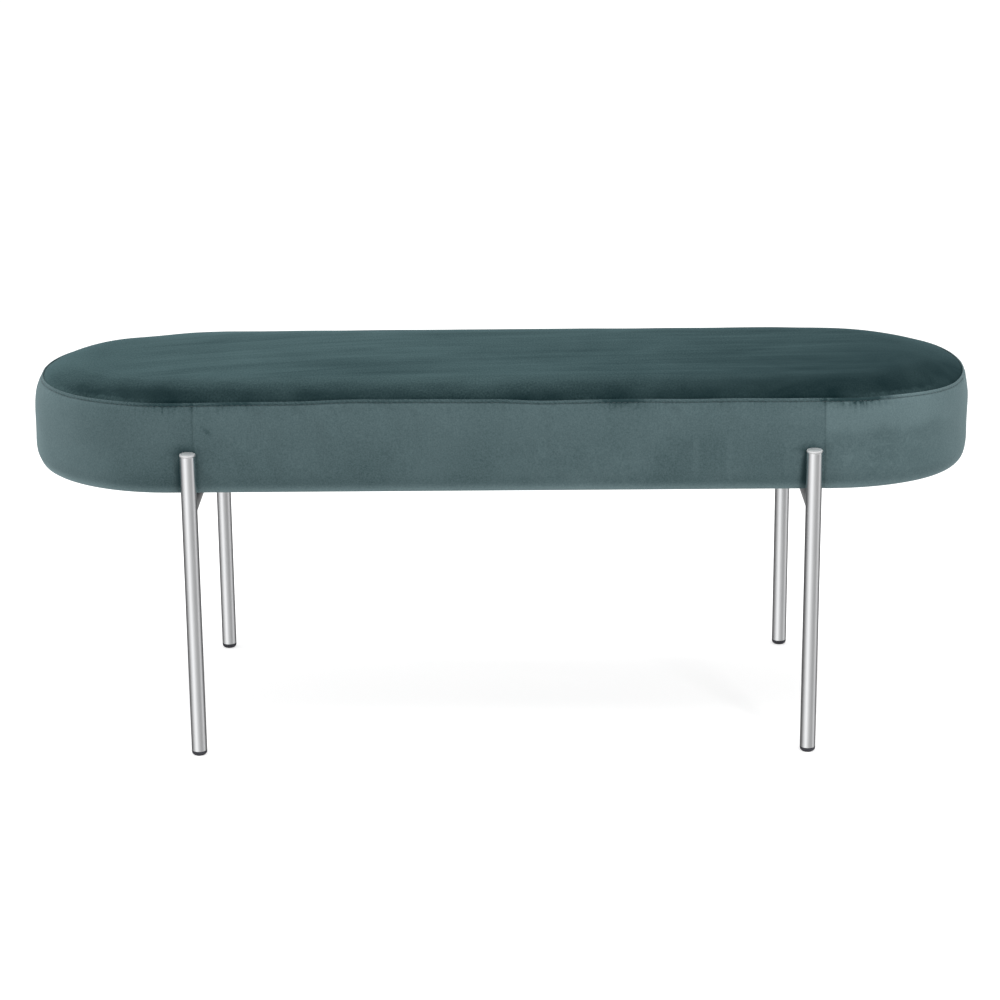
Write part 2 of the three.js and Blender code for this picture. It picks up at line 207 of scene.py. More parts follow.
def setAttribute(obj, name, perVertex):
    layer = obj.data.attributes.new(name, "FLOAT", "POINT")
    layer.data.foreach_set("value", np.asarray(perVertex, np.float32).ravel())


def applyModifiers(obj):
    graph = bpy.context.evaluated_depsgraph_get()
    mesh = bpy.data.meshes.new_from_object(obj.evaluated_get(graph), depsgraph=graph)
    obj.modifiers.clear()
    obj.data = mesh
    return obj


def settle(obj, slotName, *replaced, fill=None):
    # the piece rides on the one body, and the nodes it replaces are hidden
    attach(obj, "root")
    if replaced:
        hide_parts(*replaced)


def middleOf(node):
    low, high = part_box(node)
    return (low + high) / 2


# Shader helpers. A value is a number, a colour or a socket, and a sum goes into the tree of its socket.

def wire(sockets, values):
    for key, value in values.items():
        if isinstance(value, bpy.types.NodeSocket):
            sockets[key].id_data.links.new(value, sockets[key])
        else:
            sockets[key].default_value = value


def put(tree, kind, inputs=None, **settings):
    node = tree.nodes.new(kind)
    for key, value in settings.items():
        setattr(node, key, value)
    wire(node.inputs, inputs or {})
    return node


def calc(operation, a, b=0.0, clamp=False):
    tree = (a if isinstance(a, bpy.types.NodeSocket) else b).id_data
    return put(tree, "ShaderNodeMath", {0: a, 1: b}, operation=operation, use_clamp=clamp).outputs[0]


def swing(noise, strength):
    # a noise as a change up and down
    return calc("MULTIPLY", calc("SUBTRACT", noise, 0.5), strength)


def blend(factor, a, b):
    return put(factor.id_data, "ShaderNodeMix", {0: factor, 6: a, 7: b}, data_type="RGBA").outputs[2]


def stretched(vector, by):
    return put(vector.id_data, "ShaderNodeVectorMath", {0: vector, 1: by}, operation="MULTIPLY").outputs[0]


def noiseOf(vector, scale, detail=2.0, roughness=0.5, distortion=0.0):
    inputs = {"Vector": vector, "Scale": scale, "Detail": detail, "Roughness": roughness,
              "Distortion": distortion}
    return put(vector.id_data, "ShaderNodeTexNoise", inputs).outputs["Fac"]


def mapRange(value, low, high, newLow=0.0, newHigh=1.0, kind="LINEAR"):
    inputs = {"Value": value, "From Min": low, "From Max": high, "To Min": newLow, "To Max": newHigh}
    return put(value.id_data, "ShaderNodeMapRange", inputs, interpolation_type=kind).outputs["Result"]


def newGroup(name, inputs, outputs):
    # an input's kind follows from its default, and every group reads a place
    group = bpy.data.node_groups.new(name, "ShaderNodeTree")
    for label, default in {"Vector": (0.0, 0.0, 0.0), **inputs}.items():
        kind = {3: "Vector", 4: "Color"}[len(default)] if isinstance(default, tuple) else "Float"
        socket = group.interface.new_socket(label, in_out="INPUT", socket_type="NodeSocket" + kind)
        socket.default_value = default
    for label in outputs:
        kind = "Color" if label == "Color" else "Float"
        group.interface.new_socket(label, in_out="OUTPUT", socket_type="NodeSocket" + kind)
    return group, group.nodes.new("NodeGroupInput").outputs, group.nodes.new("NodeGroupOutput").inputs


def placeGroup(place, group, inputs):
    return put(place.id_data, "ShaderNodeGroup", {"Vector": place, **inputs}, node_tree=group).outputs


def newMaterial(name, ownMap=False, **values):
    # a Principled material with its constant sockets set; spaces in a socket's name are written as _
    material = bpy.data.materials.new(name)
    material.use_nodes = True
    tree = material.node_tree
    shader = tree.nodes["Principled BSDF"]
    wire(shader.inputs, {key.replace("_", " "): value for key, value in values.items()})
    if ownMap:
        place = put(tree, "ShaderNodeUVMap", uv_map="UVMap").outputs[0]
    else:
        place = put(tree, "ShaderNodeTexCoord").outputs["Object"]
    return material, place, shader


def dress(shader, colour, height, strength, distance):
    # the finish's varying colour and its fine relief
    inputs = {"Height": height, "Strength": strength, "Distance": distance}
    bump = put(shader.id_data, "ShaderNodeBump", inputs)
    wire(shader.inputs, {"Base Color": colour, "Normal": bump.outputs["Normal"]})


# Effects that several materials share

def makeGrainGroup():
    # fine speckle and soft blotches round one: what fibre, foam, felt and moulded plastic have in common
    group, given, result = newGroup("fineGrain", {
        "Grain Scale": 900.0, "Grain Strength": 0.1, "Blotch Scale": 9.0, "Blotch Strength": 0.1,
    }, ("Factor", "Height"))
    grain = noiseOf(given["Vector"], given["Grain Scale"], 3, 0.6)
    blotch = noiseOf(given["Vector"], given["Blotch Scale"], 3, 0.55, 0.6)
    change = calc("ADD", swing(grain, given["Grain Strength"]), swing(blotch, given["Blotch Strength"]))
    wire(result, {"Factor": calc("ADD", change, 1.0), "Height": grain})
    return group


def makePileGroup():
    # velvet pile: where the nap was brushed it turns lighter or darker, in streaks, patches and stroke marks
    group, given, result = newGroup("velvetPile", {
        "Dark": (0.1, 0.1, 0.1, 1), "Light": (0.3, 0.3, 0.3, 1), "Streak Stretch": (2.0, 40.0, 40.0),
        "Streak Strength": 0.5, "Patch Scale": 7.0, "Patch Strength": 0.5, "Stroke Strength": 0.1,
        "Grain Stretch": (520.0, 520.0, 520.0), "Grain Strength": 0.2, "Shade": 0.0,
    }, ("Color", "Height"))
    place = given["Vector"]
    streak = noiseOf(stretched(place, given["Streak Stretch"]), 1.0, 3, 0.6, 0.7)
    patch = noiseOf(place, given["Patch Scale"], 3, 0.55, 1.0)
    stroke = noiseOf(place, 42.0, 2.5, 0.55, 1.2)
    grain = noiseOf(stretched(place, given["Grain Stretch"]), 1.0, 3, 0.7)
    ridge = calc("ABSOLUTE", calc("SUBTRACT", stroke, 0.5))
    ridge = calc("SUBTRACT", 1.0, calc("MULTIPLY", ridge, 14.0), clamp=True)
    lie = swing(streak, given["Streak Strength"])
    for label, noise in {"Patch Strength": patch, "Grain Strength": grain}.items():
        lie = calc("ADD", lie, swing(noise, given[label]))
    lie = calc("ADD", lie, calc("MULTIPLY", ridge, given["Stroke Strength"]))
    lie = calc("SUBTRACT", calc("ADD", lie, 0.5), given["Shade"], clamp=True)
    wire(result, {"Color": blend(lie, given["Dark"], given["Light"]),
                  "Height": calc("ADD", grain, calc("MULTIPLY", patch, 2.0))})
    return group


def makeTimberGroup():
    # long fibres along an axis and wider bands across it
    group, given, result = newGroup("timberFibre", {
        "Stretch": (6.0, 160.0, 160.0), "Pale": (0.6, 0.4, 0.2, 1), "Deep": (0.3, 0.2, 0.1, 1),
    }, ("Color", "Height"))
    place = stretched(given["Vector"], given["Stretch"])
    fibre = noiseOf(place, 1.0, 5, 0.65, 0.3)
    band = noiseOf(place, 0.13, 2, 0.5, 1.5)
    share = mapRange(calc("ADD", fibre, band), 0.7, 1.35)
    wire(result, {"Color": blend(share, given["Pale"], given["Deep"]), "Height": fibre})
    return group


def makeScuffGroup():
    # what handling leaves on metal: faint smears and fine scratches, as a change of roughness
    group, given, result = newGroup("handledMetal", {
        "Stretch": (60.0, 60.0, 900.0), "Roughness": 0.2, "Spread": 0.1,
    }, ("Roughness", "Height", "Smear"))
    scratch = noiseOf(stretched(given["Vector"], given["Stretch"]), 1.0, 3, 0.7)
    smear = noiseOf(given["Vector"], 28.0, 3, 0.6, 0.8)
    mixed = calc("ADD", calc("MULTIPLY", scratch, 0.6), calc("MULTIPLY", smear, 0.4))
    roughness = calc("ADD", given["Roughness"], swing(mixed, given["Spread"]))
    wire(result, {"Roughness": roughness, "Height": scratch, "Smear": smear})
    return group


grainGroup = makeGrainGroup()
pileGroup = makePileGroup()
timberGroup = makeTimberGroup()
scuffGroup = makeScuffGroup()


# Finishes

# one cloth: the top's colours are set darker than the side's, partly the nap's own look and partly painted
# shade for how it lies under the light
velvetLooks = {
    "top": {"dark": srgb(6, 27, 30), "light": srgb(76, 97, 99),
            "sheen": 0.12, "sheenTint": srgb(165, 222, 232),
            "streakStretch": (4.0, 54.0, 4.0), "streaks": 0.6, "patchScale": 8.0, "patches": 0.35,
            "grainStretch": (480.0, 250.0, 480.0), "grain": 0.95},
    "side": {"dark": srgb(42, 62, 65), "light": srgb(107, 127, 130),
             "sheen": 0.25, "sheenTint": srgb(205, 226, 230),
             "streakStretch": (9.0, 9.0, 14.0), "streaks": 0.13, "patchScale": 12.0, "patches": 0.11,
             "grainStretch": (520.0, 520.0, 520.0), "grain": 0.75},
}


def velvetMaterial(part):
    # on the top the strokes of the brush run as the panel's own map is drawn
    looks = velvetLooks[part]
    material, place, shader = newMaterial(
        f"velvet_{part}", ownMap=part == "top", Roughness=0.95, Specular_IOR_Level=0.1,
        Sheen_Weight=looks["sheen"], Sheen_Roughness=0.42, Sheen_Tint=looks["sheenTint"],
    )
    tree = material.node_tree
    # the first attribute holds the nap's own tone together with painted shade and painted sheen
    shade, marks, even = (put(tree, "ShaderNodeAttribute", attribute_name=name).outputs["Fac"]
                          for name in ("napAndPaintedShade", "brushed", "streaked"))
    pile = placeGroup(place, pileGroup, {
        "Dark": looks["dark"], "Light": looks["light"], "Shade": shade,
        "Streak Stretch": looks["streakStretch"], "Streak Strength": calc("MULTIPLY", even, looks["streaks"]),
        "Patch Scale": looks["patchScale"],
        "Patch Strength": calc("ADD", calc("MULTIPLY", marks, 0.35), looks["patches"]),
        "Stroke Strength": calc("MULTIPLY", marks, 0.11), "Grain Stretch": looks["grainStretch"],
        # where the nap or painted shade lies dark its grain shows less
        "Grain Strength": mapRange(shade, 0.22, 0.42, looks["grain"], 0.25 * looks["grain"]),
    })
    dress(shader, pile["Color"], pile["Height"], 0.35, 0.35 * mm)
    return material


def threadMaterial():
    material, place, shader = newMaterial("sewingThread", Roughness=0.6, Sheen_Weight=0.2)
    twist = put(material.node_tree, "ShaderNodeTexWave", {"Vector": place, "Scale": 700.0, "Distortion": 1.5},
                bands_direction="DIAGONAL").outputs["Fac"]
    dress(shader, blend(twist, srgb(30, 46, 50), srgb(62, 80, 84)), twist, 0.5, 0.1 * mm)
    return material


def softMaterial(name, pale, deep, grainScale, grainStrength, blotchScale, bumpHeight, sheen=0.0):
    # foam, fibre, non-woven cloth and moulded plastic: one colour that wanders, over a fine grain
    material, place, shader = newMaterial(name, Roughness=0.9, Sheen_Weight=sheen)
    grain = placeGroup(place, grainGroup, {"Grain Scale": grainScale, "Grain Strength": grainStrength,
                                           "Blotch Scale": blotchScale, "Blotch Strength": 1.0})
    share = calc("SUBTRACT", grain["Factor"], 0.5, clamp=True)
    dress(shader, blend(share, deep, pale), grain["Height"], 0.6, bumpHeight)
    return material


def timberMaterial(name, pale, deep, stretch, roughness, plies=False):
    material, place, shader = newMaterial(name, Roughness=roughness, Specular_IOR_Level=0.3)
    timber = placeGroup(place, timberGroup, {"Stretch": stretch, "Pale": pale, "Deep": deep})
    colour = plyEdges(place, timber["Color"]) if plies else timber["Color"]
    dress(shader, colour, timber["Height"], 0.3, 0.3 * mm)
    return material


def plyEdges(place, veneer):
    # veneer above and below, and the plies' alternating lines on the edges
    plies = put(place.id_data, "ShaderNodeTexWave", {"Vector": place, "Scale": 130.0, "Distortion": 0.4},
                bands_direction="Z").outputs["Fac"]
    edge = blend(mapRange(plies, 0.35, 0.65, kind="SMOOTHSTEP"), srgb(196, 160, 112), srgb(138, 100, 62))
    normal = put(place.id_data, "ShaderNodeNewGeometry").outputs["Normal"]
    upright = put(place.id_data, "ShaderNodeSeparateXYZ", {0: normal}).outputs["Z"]
    return blend(mapRange(calc("ABSOLUTE", upright), 0.5, 0.8), edge, veneer)


def metalMaterial(name, colour, roughness, spread, stretch, bumpHeight, anisotropy=0.0, tint=0.06):
    material, place, shader = newMaterial(name, Metallic=1.0, Anisotropic=anisotropy)
    scuff = placeGroup(place, scuffGroup, {"Stretch": stretch, "Roughness": roughness, "Spread": spread})
    darker = tuple(value * (1 - tint) for value in colour)
    dress(shader, blend(scuff["Smear"], (*darker, 1.0), (*colour, 1.0)), scuff["Height"], 0.15, bumpHeight)
    wire(shader.inputs, {"Roughness": scuff["Roughness"]})
    if anisotropy:
        tangent = put(material.node_tree, "ShaderNodeTangent", direction_type="UV_MAP", uv_map="UVMap")
        wire(shader.inputs, {"Tangent": tangent.outputs[0]})
    return material


velvetTop = velvetMaterial("top")
velvetSide = velvetMaterial("side")
thread = threadMaterial()
foam = softMaterial("seatFoam", srgb(236, 226, 190), srgb(214, 198, 150), 700, 1.6, 14, 0.4 * mm)
wadding = softMaterial("polyesterWadding", srgb(246, 245, 241), srgb(220, 219, 214), 260, 1.8, 30, 1.2 * mm,
                       sheen=0.4)
dustCloth = softMaterial("nonWovenDustCloth", srgb(40, 41, 43), srgb(22, 23, 25), 620, 1.6, 40, 0.2 * mm)
footPlastic = softMaterial("footPlastic", srgb(74, 74, 80), srgb(50, 50, 56), 1500, 0.7, 60, 0.05 * mm)
softwood = timberMaterial("pineTimber", srgb(222, 192, 142), srgb(184, 142, 90), (5.0, 140.0, 140.0), 0.7)
hardboard = timberMaterial("hardboard", srgb(134, 98, 66), srgb(98, 66, 42), (90.0, 110.0, 110.0), 0.75)
plywood = timberMaterial("birchPlywood", srgb(214, 182, 134), srgb(176, 138, 92), (5.0, 120.0, 120.0), 0.65,
                         plies=True)
polishedTube = metalMaterial("polishedTube", (0.86, 0.87, 0.88), 0.3, 0.06, (40, 40, 1600), 0.004 * mm, 0.75)
satinCap = metalMaterial("satinCap", (0.92, 0.925, 0.93), 0.66, 0.12, (300, 300, 300), 0.01 * mm)
rawSteel = metalMaterial("rawSteel", (0.40, 0.405, 0.41), 0.42, 0.25, (220, 220, 220), 0.03 * mm, tint=0.35)
zincSteel = metalMaterial("zincSteel", (0.60, 0.62, 0.64), 0.34, 0.2, (300, 300, 300), 0.02 * mm, tint=0.2)
print("finishes made")


# Outline of the seat, followed by its length round the edge

bandLow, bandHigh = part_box("cover_left_band")
frontLow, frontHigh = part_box("cover_front_band")
_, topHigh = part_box("cover_top")

seat = {
    "endRadius": bandHigh.y,
    "straightHalf": -bandLow.x - bandHigh.y,
    "bottom": bandLow.z,
    "seam": bandHigh.z,
    "crown": topHigh.z,
    "hemInset": bandHigh.y - topHigh.y,
    "seamLeft": frontLow.x,
    "seamRight": frontHigh.x,
}
arcLength = math.pi * seat["endRadius"]
roundLength = 4 * seat["straightHalf"] + 2 * arcLength
# Below, u runs round the seat, in metres from the middle of the front, and across an array. Rows run down an
# array: lengths from the seam along the section, minus down the side and plus in over the top.


def evenStations(count):
    return np.arange(count)[None, :] * roundLength / count


def stationAt(u):
    # centre on the X axis, and outward angle
    half, radius = seat["straightHalf"], seat["endRadius"]
    u = np.mod(np.asarray(u, float), roundLength)
    starts = np.cumsum([0, half, arcLength, 2 * half, arcLength])
    part = np.searchsorted(starts, u, side="right") - 1
    along = u - starts[part]
    turn = along / radius
    x = np.choose(part, [along, half, half - along, -half, along - half])
    angle = np.choose(part, [-quarterTurn, turn - quarterTurn, quarterTurn, turn + quarterTurn,
                             3 * quarterTurn])
    return x, angle


def edgeAt(u):
    # X on the seat's edge, and outward angle
    x, angle = stationAt(u)
    return x + seat["endRadius"] * np.cos(angle), angle


def outlinePoints(u, inset, z):
    x, angle = stationAt(u)
    radius = seat["endRadius"] - inset
    return together(x + radius * np.cos(angle), radius * np.sin(angle), z)


def lengthTo(x, face):
    # u of the place on the front (-1) or rear (1) straight stretch with this x
    return x if face < 0 else 2 * seat["straightHalf"] + arcLength - x


# Seat cover: a crowned top panel and a band, meeting at a folded edge with a line of stitches below it

coverSizes = {
    **inMetres({
        "lowerEdgeInset": 9, "lowerEdgeHeight": 30, "seamInset": 9, "crownRun": 67, "flangeWidth": 36,
        "foldWidth": 4, "foldRaise": 0.6, "foldRound": 0.8, "stitchDent": 0.4, "stitchDentWidth": 0.8,
        "stitchBelow": 0.3, "puffBelow": 0.35, "puffReach": 3.5, "grooveDepth": 1.5, "grooveWidth": 2.4,
        "hemDepth": 3, "seamGroove": 0.45, "seamGrooveWidth": 0.9, "shoulder": 0.1, "shoulderReach": 6,
        "turnIn": 3, "firstRow": 1, "columnStep": 1.9, "fineStep": 0.6, "puckerHeight": 0.7,
        "puckerReach": 10, "pleatDrop": 0.5, "pleatLength": 14,
    }),
    "sideCurvePower": 4,
    "columns": 920,
    "stepGrowth": 1.12,
}
sectionSteps = {"side": 240, "lowerEdge": 90, "flange": 60, "crown": 200, "flat": 80}


def lineThrough(inset, height):
    # distance along, inset and height of a section line
    steps = np.hypot(np.diff(inset), np.diff(height))
    return np.concatenate([[0], np.cumsum(steps)]), inset, height


def sideSection():
    # from the seam down the drawn-in side, round the lower edge and under to the end of the flange
    sizes, bottom = coverSizes, seat["bottom"]
    low = bottom + sizes["lowerEdgeHeight"]
    share = np.linspace(1, 0, sectionSteps["side"])
    turn = np.linspace(quarterTurn, 0, sectionSteps["lowerEdge"])[1:]
    flange = np.linspace(0, sizes["flangeWidth"], sectionSteps["flange"])[1:]
    return lineThrough(
        np.concatenate([sizes["seamInset"] * share ** sizes["sideCurvePower"],
                        sizes["lowerEdgeInset"] * (1 - np.sin(turn)), sizes["lowerEdgeInset"] + flange]),
        np.concatenate([low + (seat["seam"] - low) * share,
                        bottom + sizes["lowerEdgeHeight"] * (1 - np.cos(turn)),
                        np.full(len(flange), bottom)]),
    )


def topSection():
    # from the seam in over the crown to the flat middle
    crown = np.linspace(0, 1, sectionSteps["crown"])
    run, rise = coverSizes["crownRun"], seat["crown"] - seat["seam"]
    flat = np.linspace(seat["hemInset"] + run, seat["endRadius"], sectionSteps["flat"])[1:]
    return lineThrough(
        np.concatenate([seat["hemInset"] + run * crown, flat]),
        np.concatenate([seat["seam"] + rise * (1 - (1 - crown) ** 2), np.full(len(flat), seat["crown"])]),
    )


sideLine = sideSection()
topLine = topSection()
lastSideRow = -sideLine[0][-1]
lastTopRow = topLine[0][-1]


def rowsThrough(first, *runs):
    # the first rows, and from the last of them runs: where each ends, and its number of steps
    rows = [np.array(first, float)]
    for end, steps in runs:
        rows.append(np.linspace(rows[-1][-1], end, steps + 1)[1:])
    return np.concatenate(rows)[:, None]


def sectionAt(rows):
    # inset and height of a row, and the direction out of the seat there
    rows = np.asarray(rows, float)
    step = 0.4 * mm
    parts = []
    for line, distance, hand in ((sideLine, -rows, -1), (topLine, rows, 1)):
        behind, here, ahead = (np.stack([np.interp(distance + shift, line[0], part) for part in line[1:]])
                               for shift in (-step, 0, step))
        run, rise = ahead - behind
        length = hand * np.maximum(np.hypot(run, rise), 1e-9)
        parts.append((*here, -rise / length, run / length))
    return [np.where(rows < 0, onSide, onTop) for onSide, onTop in zip(*parts)]


# Where the hand-sewn seam strays from the straight, in millimetres: x, and how far it lies lower there
seamStray = {
    "front": [(-585, 0), (-520, 0.6), (-440, 1.1), (-380, 1.3), (-300, 1.1), (-170, -1.3), (-10, -0.4),
              (50, 1.3), (170, 0), (380, 0.4), (450, 1.0), (510, 2.3), (560, 2.2), (585, 0.8)],
    "rear": [(-585, 0), (-520, 2.0), (-445, 3.6), (-350, 0.2), (-200, -0.5), (200, -0.5), (350, -1.4),
             (420, 1.8), (500, 0.6), (585, 0)],
}
seamWander = inMetres({"size": 0.4, "wave": 160, "reach": 30})
# How far the seam is drawn in and lies lower at both ends, from which share of the turn on
endPull = {
    "left": {"hand": -1, "from": 0.3, "rear": 1.2, **inMetres({"tuck": 2.5, "drop": 3.5, "reach": 12})},
    "right": {"hand": 1, "from": 0.45, "rear": 0.6, **inMetres({"tuck": -1.5, "drop": 5, "reach": 14})},
}
# Where the crown has sunk, at the rear of the left end
rearSunk = inMetres({"x": -450, "reach": 45, "from": 60, "to": 130, "depth": 2.7, "start": 12})
# Where the padding fills the lower edge more, at the front of the right end
cornerFill = {"angle": -0.72, "turnReach": 0.35, **inMetres({"row": -96, "reach": 18, "out": 2.6})}
# The top's own soft waves, which start a little way in from its seam
topWaves = inMetres({"height": 0.3, "length": 230, "from": 5, "to": 50})


def endShare(pull, angle):
    return smoothStep(pull["hand"] * np.cos(angle), pull["from"], 1)


def strayDown(u, rows):
    x, angle = stationAt(u)
    edge, _ = edgeAt(u)
    drop = seamWander["size"] * softNoise(21, seamWander["wave"], x + edge, 0.2 * np.sin(angle) - 2.8)
    for name, hand in faces.items():
        keys, drops = np.array(seamStray[name]).T * mm
        part = np.clip(np.searchsorted(keys, edge) - 1, 0, len(keys) - 2)
        eased = smoothStep(edge, keys[part], keys[part + 1])
        share = smoothStep(hand * np.sin(angle), -0.2, 0.8)
        drop = drop + (drops[part] * (1 - eased) + drops[part + 1] * eased) * share
    for pull in endPull.values():
        drop = drop + pull["drop"] * endShare(pull, angle) * smoothStep(np.sin(angle), pull["rear"], -0.2)
    return drop * hump(rows, seamWander["reach"])


def endTuck(u, rows):
    _, angle = stationAt(u)
    return sum(pull["tuck"] * endShare(pull, angle) * hump(rows, pull["reach"]) for pull in endPull.values())


def cornerOut(u, rows):
    _, angle = stationAt(u)
    away = np.mod(angle - cornerFill["angle"] + math.pi, fullTurn) - math.pi
    around = cornerFill["out"] * hump(away, cornerFill["turnReach"])
    return around * hump(rows - cornerFill["row"], cornerFill["reach"])


# The padded swell: the cover is blown out over its start shape as cloth, held at its seam and underside

swellSizes = {
    "columns": 264, "frames": 20, "seed": 7, "share": 0.6, "topShare": 0.15, "smoothing": 3,
    **inMetres({"startBelow": 1.2, "slackWave": 150, "mostMove": 2.0, "topReach": 90,
                "seamHold": 4, "underHold": -104, "middleHold": 1}),
}
swellCloth = {
    "quality": 6, "mass": 0.35, "tension_stiffness": 25, "compression_stiffness": 25, "shear_stiffness": 12,
    "bending_stiffness": 1.5, "air_damping": 4, "use_pressure": True, "uniform_pressure_force": 4.0,
    "vertex_group_mass": "held", "vertex_group_shrink": "slack", "shrink_min": -0.014, "shrink_max": 0.0,
}


def swellRows():
    # rows of the simulated pad, the seam among them
    return rowsThrough([lastSideRow], (-108 * mm, 4), (0, 13), (66 * mm, 8), (150 * mm, 7))


def swellPad(u, rows, held):
    # closed pad of the cover's shape, a little small where it isn't held
    inset, height, outIn, outUp = sectionAt(rows)
    sink = swellSizes["startBelow"] * (1 - held)
    points = outlinePoints(u, inset - outIn * sink, height - outUp * sink)
    pad = closedBody("swellPad", points, velvetSide)
    slackness = 0.5 + 0.5 * noiseOver(swellSizes["seed"], swellSizes["slackWave"], points)
    groups = {"held": np.broadcast_to(held, slackness.shape), "slack": np.clip(slackness, 0, 1)}
    for name, weights in groups.items():
        group = pad.vertex_groups.new(name=name)
        for i, weight in enumerate(weights.ravel()):
            group.add([i], float(weight), "REPLACE")
    return pad, points


def simulateSwell():
    sizes = swellSizes
    u, rows = evenStations(sizes["columns"]), swellRows()
    fixed = (rows < sizes["underHold"]) + (rows > rows[-1] - sizes["middleHold"])
    pad, points = swellPad(u, rows, np.clip(hump(rows, sizes["seamHold"]) + fixed, 0, 1))
    cloth = pad.modifiers.new("cloth", "CLOTH")
    for name, value in swellCloth.items():
        setattr(cloth.settings, name, value)
    cloth.settings.effector_weights.gravity = 0
    cloth.point_cache.frame_end = sizes["frames"]
    for frameNumber in range(1, sizes["frames"] + 1):
        scene.frame_set(frameNumber)
    blown = coordsOf(applyModifiers(pad))[:points[..., 0].size]
    moved = blown.reshape(points.shape) - points
    bpy.data.objects.remove(pad)
    scene.frame_set(1)
    _, angle = stationAt(u)
    swell = np.stack([moved[..., 0] * np.cos(angle) + moved[..., 1] * np.sin(angle), moved[..., 2]], -1)
    # a row's mean move brings it to the measured section, and what is left is the cloth's unevenness
    swell = (swell - swell.mean(axis=1, keepdims=True)) * sizes["share"]
    # the top is drawn smooth, so only its wide waves stay
    steps = range(-sizes["smoothing"], sizes["smoothing"] + 1)
    onTop = rows[:, 0] > 0
    swell[onTop] = sum(np.roll(swell, step, axis=1) for step in steps)[onTop] / len(steps)
    print("swell: most", round(float(np.abs(swell).max() / mm), 2), "mm, usual",
          round(float(np.sqrt((swell ** 2).mean()) / mm), 2), "mm")
    return u[0], rows[:, 0], np.clip(swell, -sizes["mostMove"], sizes["mostMove"])


def swellAt(u, rows):
    # the swell at a grid of places: outward and up
    keysU, keysRow, swell = swellField
    wrapU = np.concatenate([keysU[-2:] - roundLength, keysU, keysU[:3] + roundLength])
    wrapped = np.concatenate([swell[:, -2:], swell, swell[:, :3]], axis=1)
    across = curveThrough(wrapU, wrapped.transpose(1, 0, 2), np.mod(u, roundLength).ravel())
    swell = curveThrough(keysRow, across.transpose(1, 0, 2), np.clip(rows, keysRow[0], keysRow[-1]).ravel())
    return np.moveaxis(swell, -1, 0)


swellField = simulateSwell()
print("swell done")


def shaped(u, rows, inset, height):
    # section places carried round the outline, with the seam's stray, the swell and the top's soft waves;
    # over the wadding the top lies smooth, so the swell dies away there
    fade = np.where(rows > 0, swellSizes["topShare"] * smoothStep(rows, swellSizes["topReach"], 0), 1)
    swellOut, swellUp = swellAt(u, rows) * fade
    fuller = cornerOut(u, rows)
    points = outlinePoints(u, inset + endTuck(u, rows) - fuller - swellOut,
                           height + swellUp - strayDown(u, rows) - fuller)
    x, y, z = np.moveaxis(points, -1, 0)
    sunk = hump(x - rearSunk["x"], rearSunk["reach"]) * smoothStep(y, rearSunk["from"], rearSunk["to"])
    z -= rearSunk["depth"] * sunk * smoothStep(rows, 0, rearSunk["start"])
    waves = topWaves["height"] * softNoise(63, topWaves["length"], x, y)
    z += waves * smoothStep(rows, topWaves["from"], topWaves["to"])
    return points


def coverPoints(u, rows, lift=0.0):
    # the cover's surface, or one that lies a lift out of it
    inset, height, outIn, outUp = sectionAt(rows)
    return shaped(u, rows, inset + outIn * lift, height + outUp * lift)


# Where the seam is puckered, and where painted shade darkens the fold and the pile below it: x along the
# front and reach in millimetres, strength
puckerPatches = [(434, 20, 1.2), (148, 24, 0.35), (265, 50, 0.15), (-317, 32, 0.18), (-402, 30, 0.18)]
seamShadePatches = [(417, 30, 1.25), (453, 20, 0.8), (145, 28, 0.7), (265, 50, 0.2), (-60, 90, 0.1),
                 (-200, 90, 0.15), (-317, 32, 0.45), (-402, 30, 0.35)]
# A short slanting dimple beside the left seam
dimple = inMetres({"x": -352, "below": 36, "length": 7, "width": 2.2, "depth": 0.5})


def alongSeam(u, table):
    # how strongly the cloth is puckered, or darkened with painted shade, along the seam
    edge, angle = edgeAt(u)
    everywhere = 0.06 + 0.04 * softNoise(33, 120 * mm, edge, 0.2 * np.sin(angle))
    return everywhere + patches(table, edge) * (np.sin(angle) < 0.2)


def puckers(u, below):
    # short upright creases under the stitches
    edge = coverSizes["foldWidth"]
    ripple = softNoise(35, 7.5 * mm, u) + 0.6 * softNoise(36, 4.8 * mm, u)
    fade = hump(np.clip(below - edge, 0, None), coverSizes["puckerReach"])
    return alongSeam(u, puckerPatches) * ripple * fade * smoothStep(below, 0.6 * edge, 1.4 * edge)


def dimpleAt(u, below):
    toSide = np.where(u > roundLength / 2, u - roundLength, u) - dimple["x"]
    toDown = below - dimple["below"]
    along, across = (toSide + toDown) / math.sqrt(2), (toSide - toDown) / math.sqrt(2)
    return hump(along, dimple["length"]) * hump(across, dimple["width"])


def foldLift(u, below):
    # how far the band stands out of its smooth section: raised fold, stitched dent, puff, and creases below
    sizes = coverSizes
    past = below - sizes["foldWidth"]
    raised = sizes["foldRaise"] * smoothStep(past, 0.3 * mm, -1.1 * mm)
    dent = sizes["stitchDent"] * hump(past - sizes["stitchBelow"], sizes["stitchDentWidth"])
    puff = sizes["puffBelow"] * hump(past - 5 * mm, sizes["puffReach"])
    uneven = 1 + 0.25 * softNoise(38, 45 * mm, u)
    creases = sizes["puckerHeight"] * puckers(u, below) - dimple["depth"] * dimpleAt(u, below)
    return (raised - dent + puff) * uneven + creases


def bandSides(toEnd, below):
    # along both vertical seams the band dips unevenly into the seam, with a soft shoulder beside it
    sizes = coverSizes
    shoulder = sizes["shoulder"] * hump(toEnd - sizes["shoulderReach"], sizes["shoulderReach"])
    uneven = 0.85 + 0.25 * softNoise(57, 16 * mm, below) - 0.4 * smoothStep(below, 20 * mm, 50 * mm)
    return shoulder - sizes["seamGroove"] * uneven * hump(toEnd, sizes["seamGrooveWidth"])


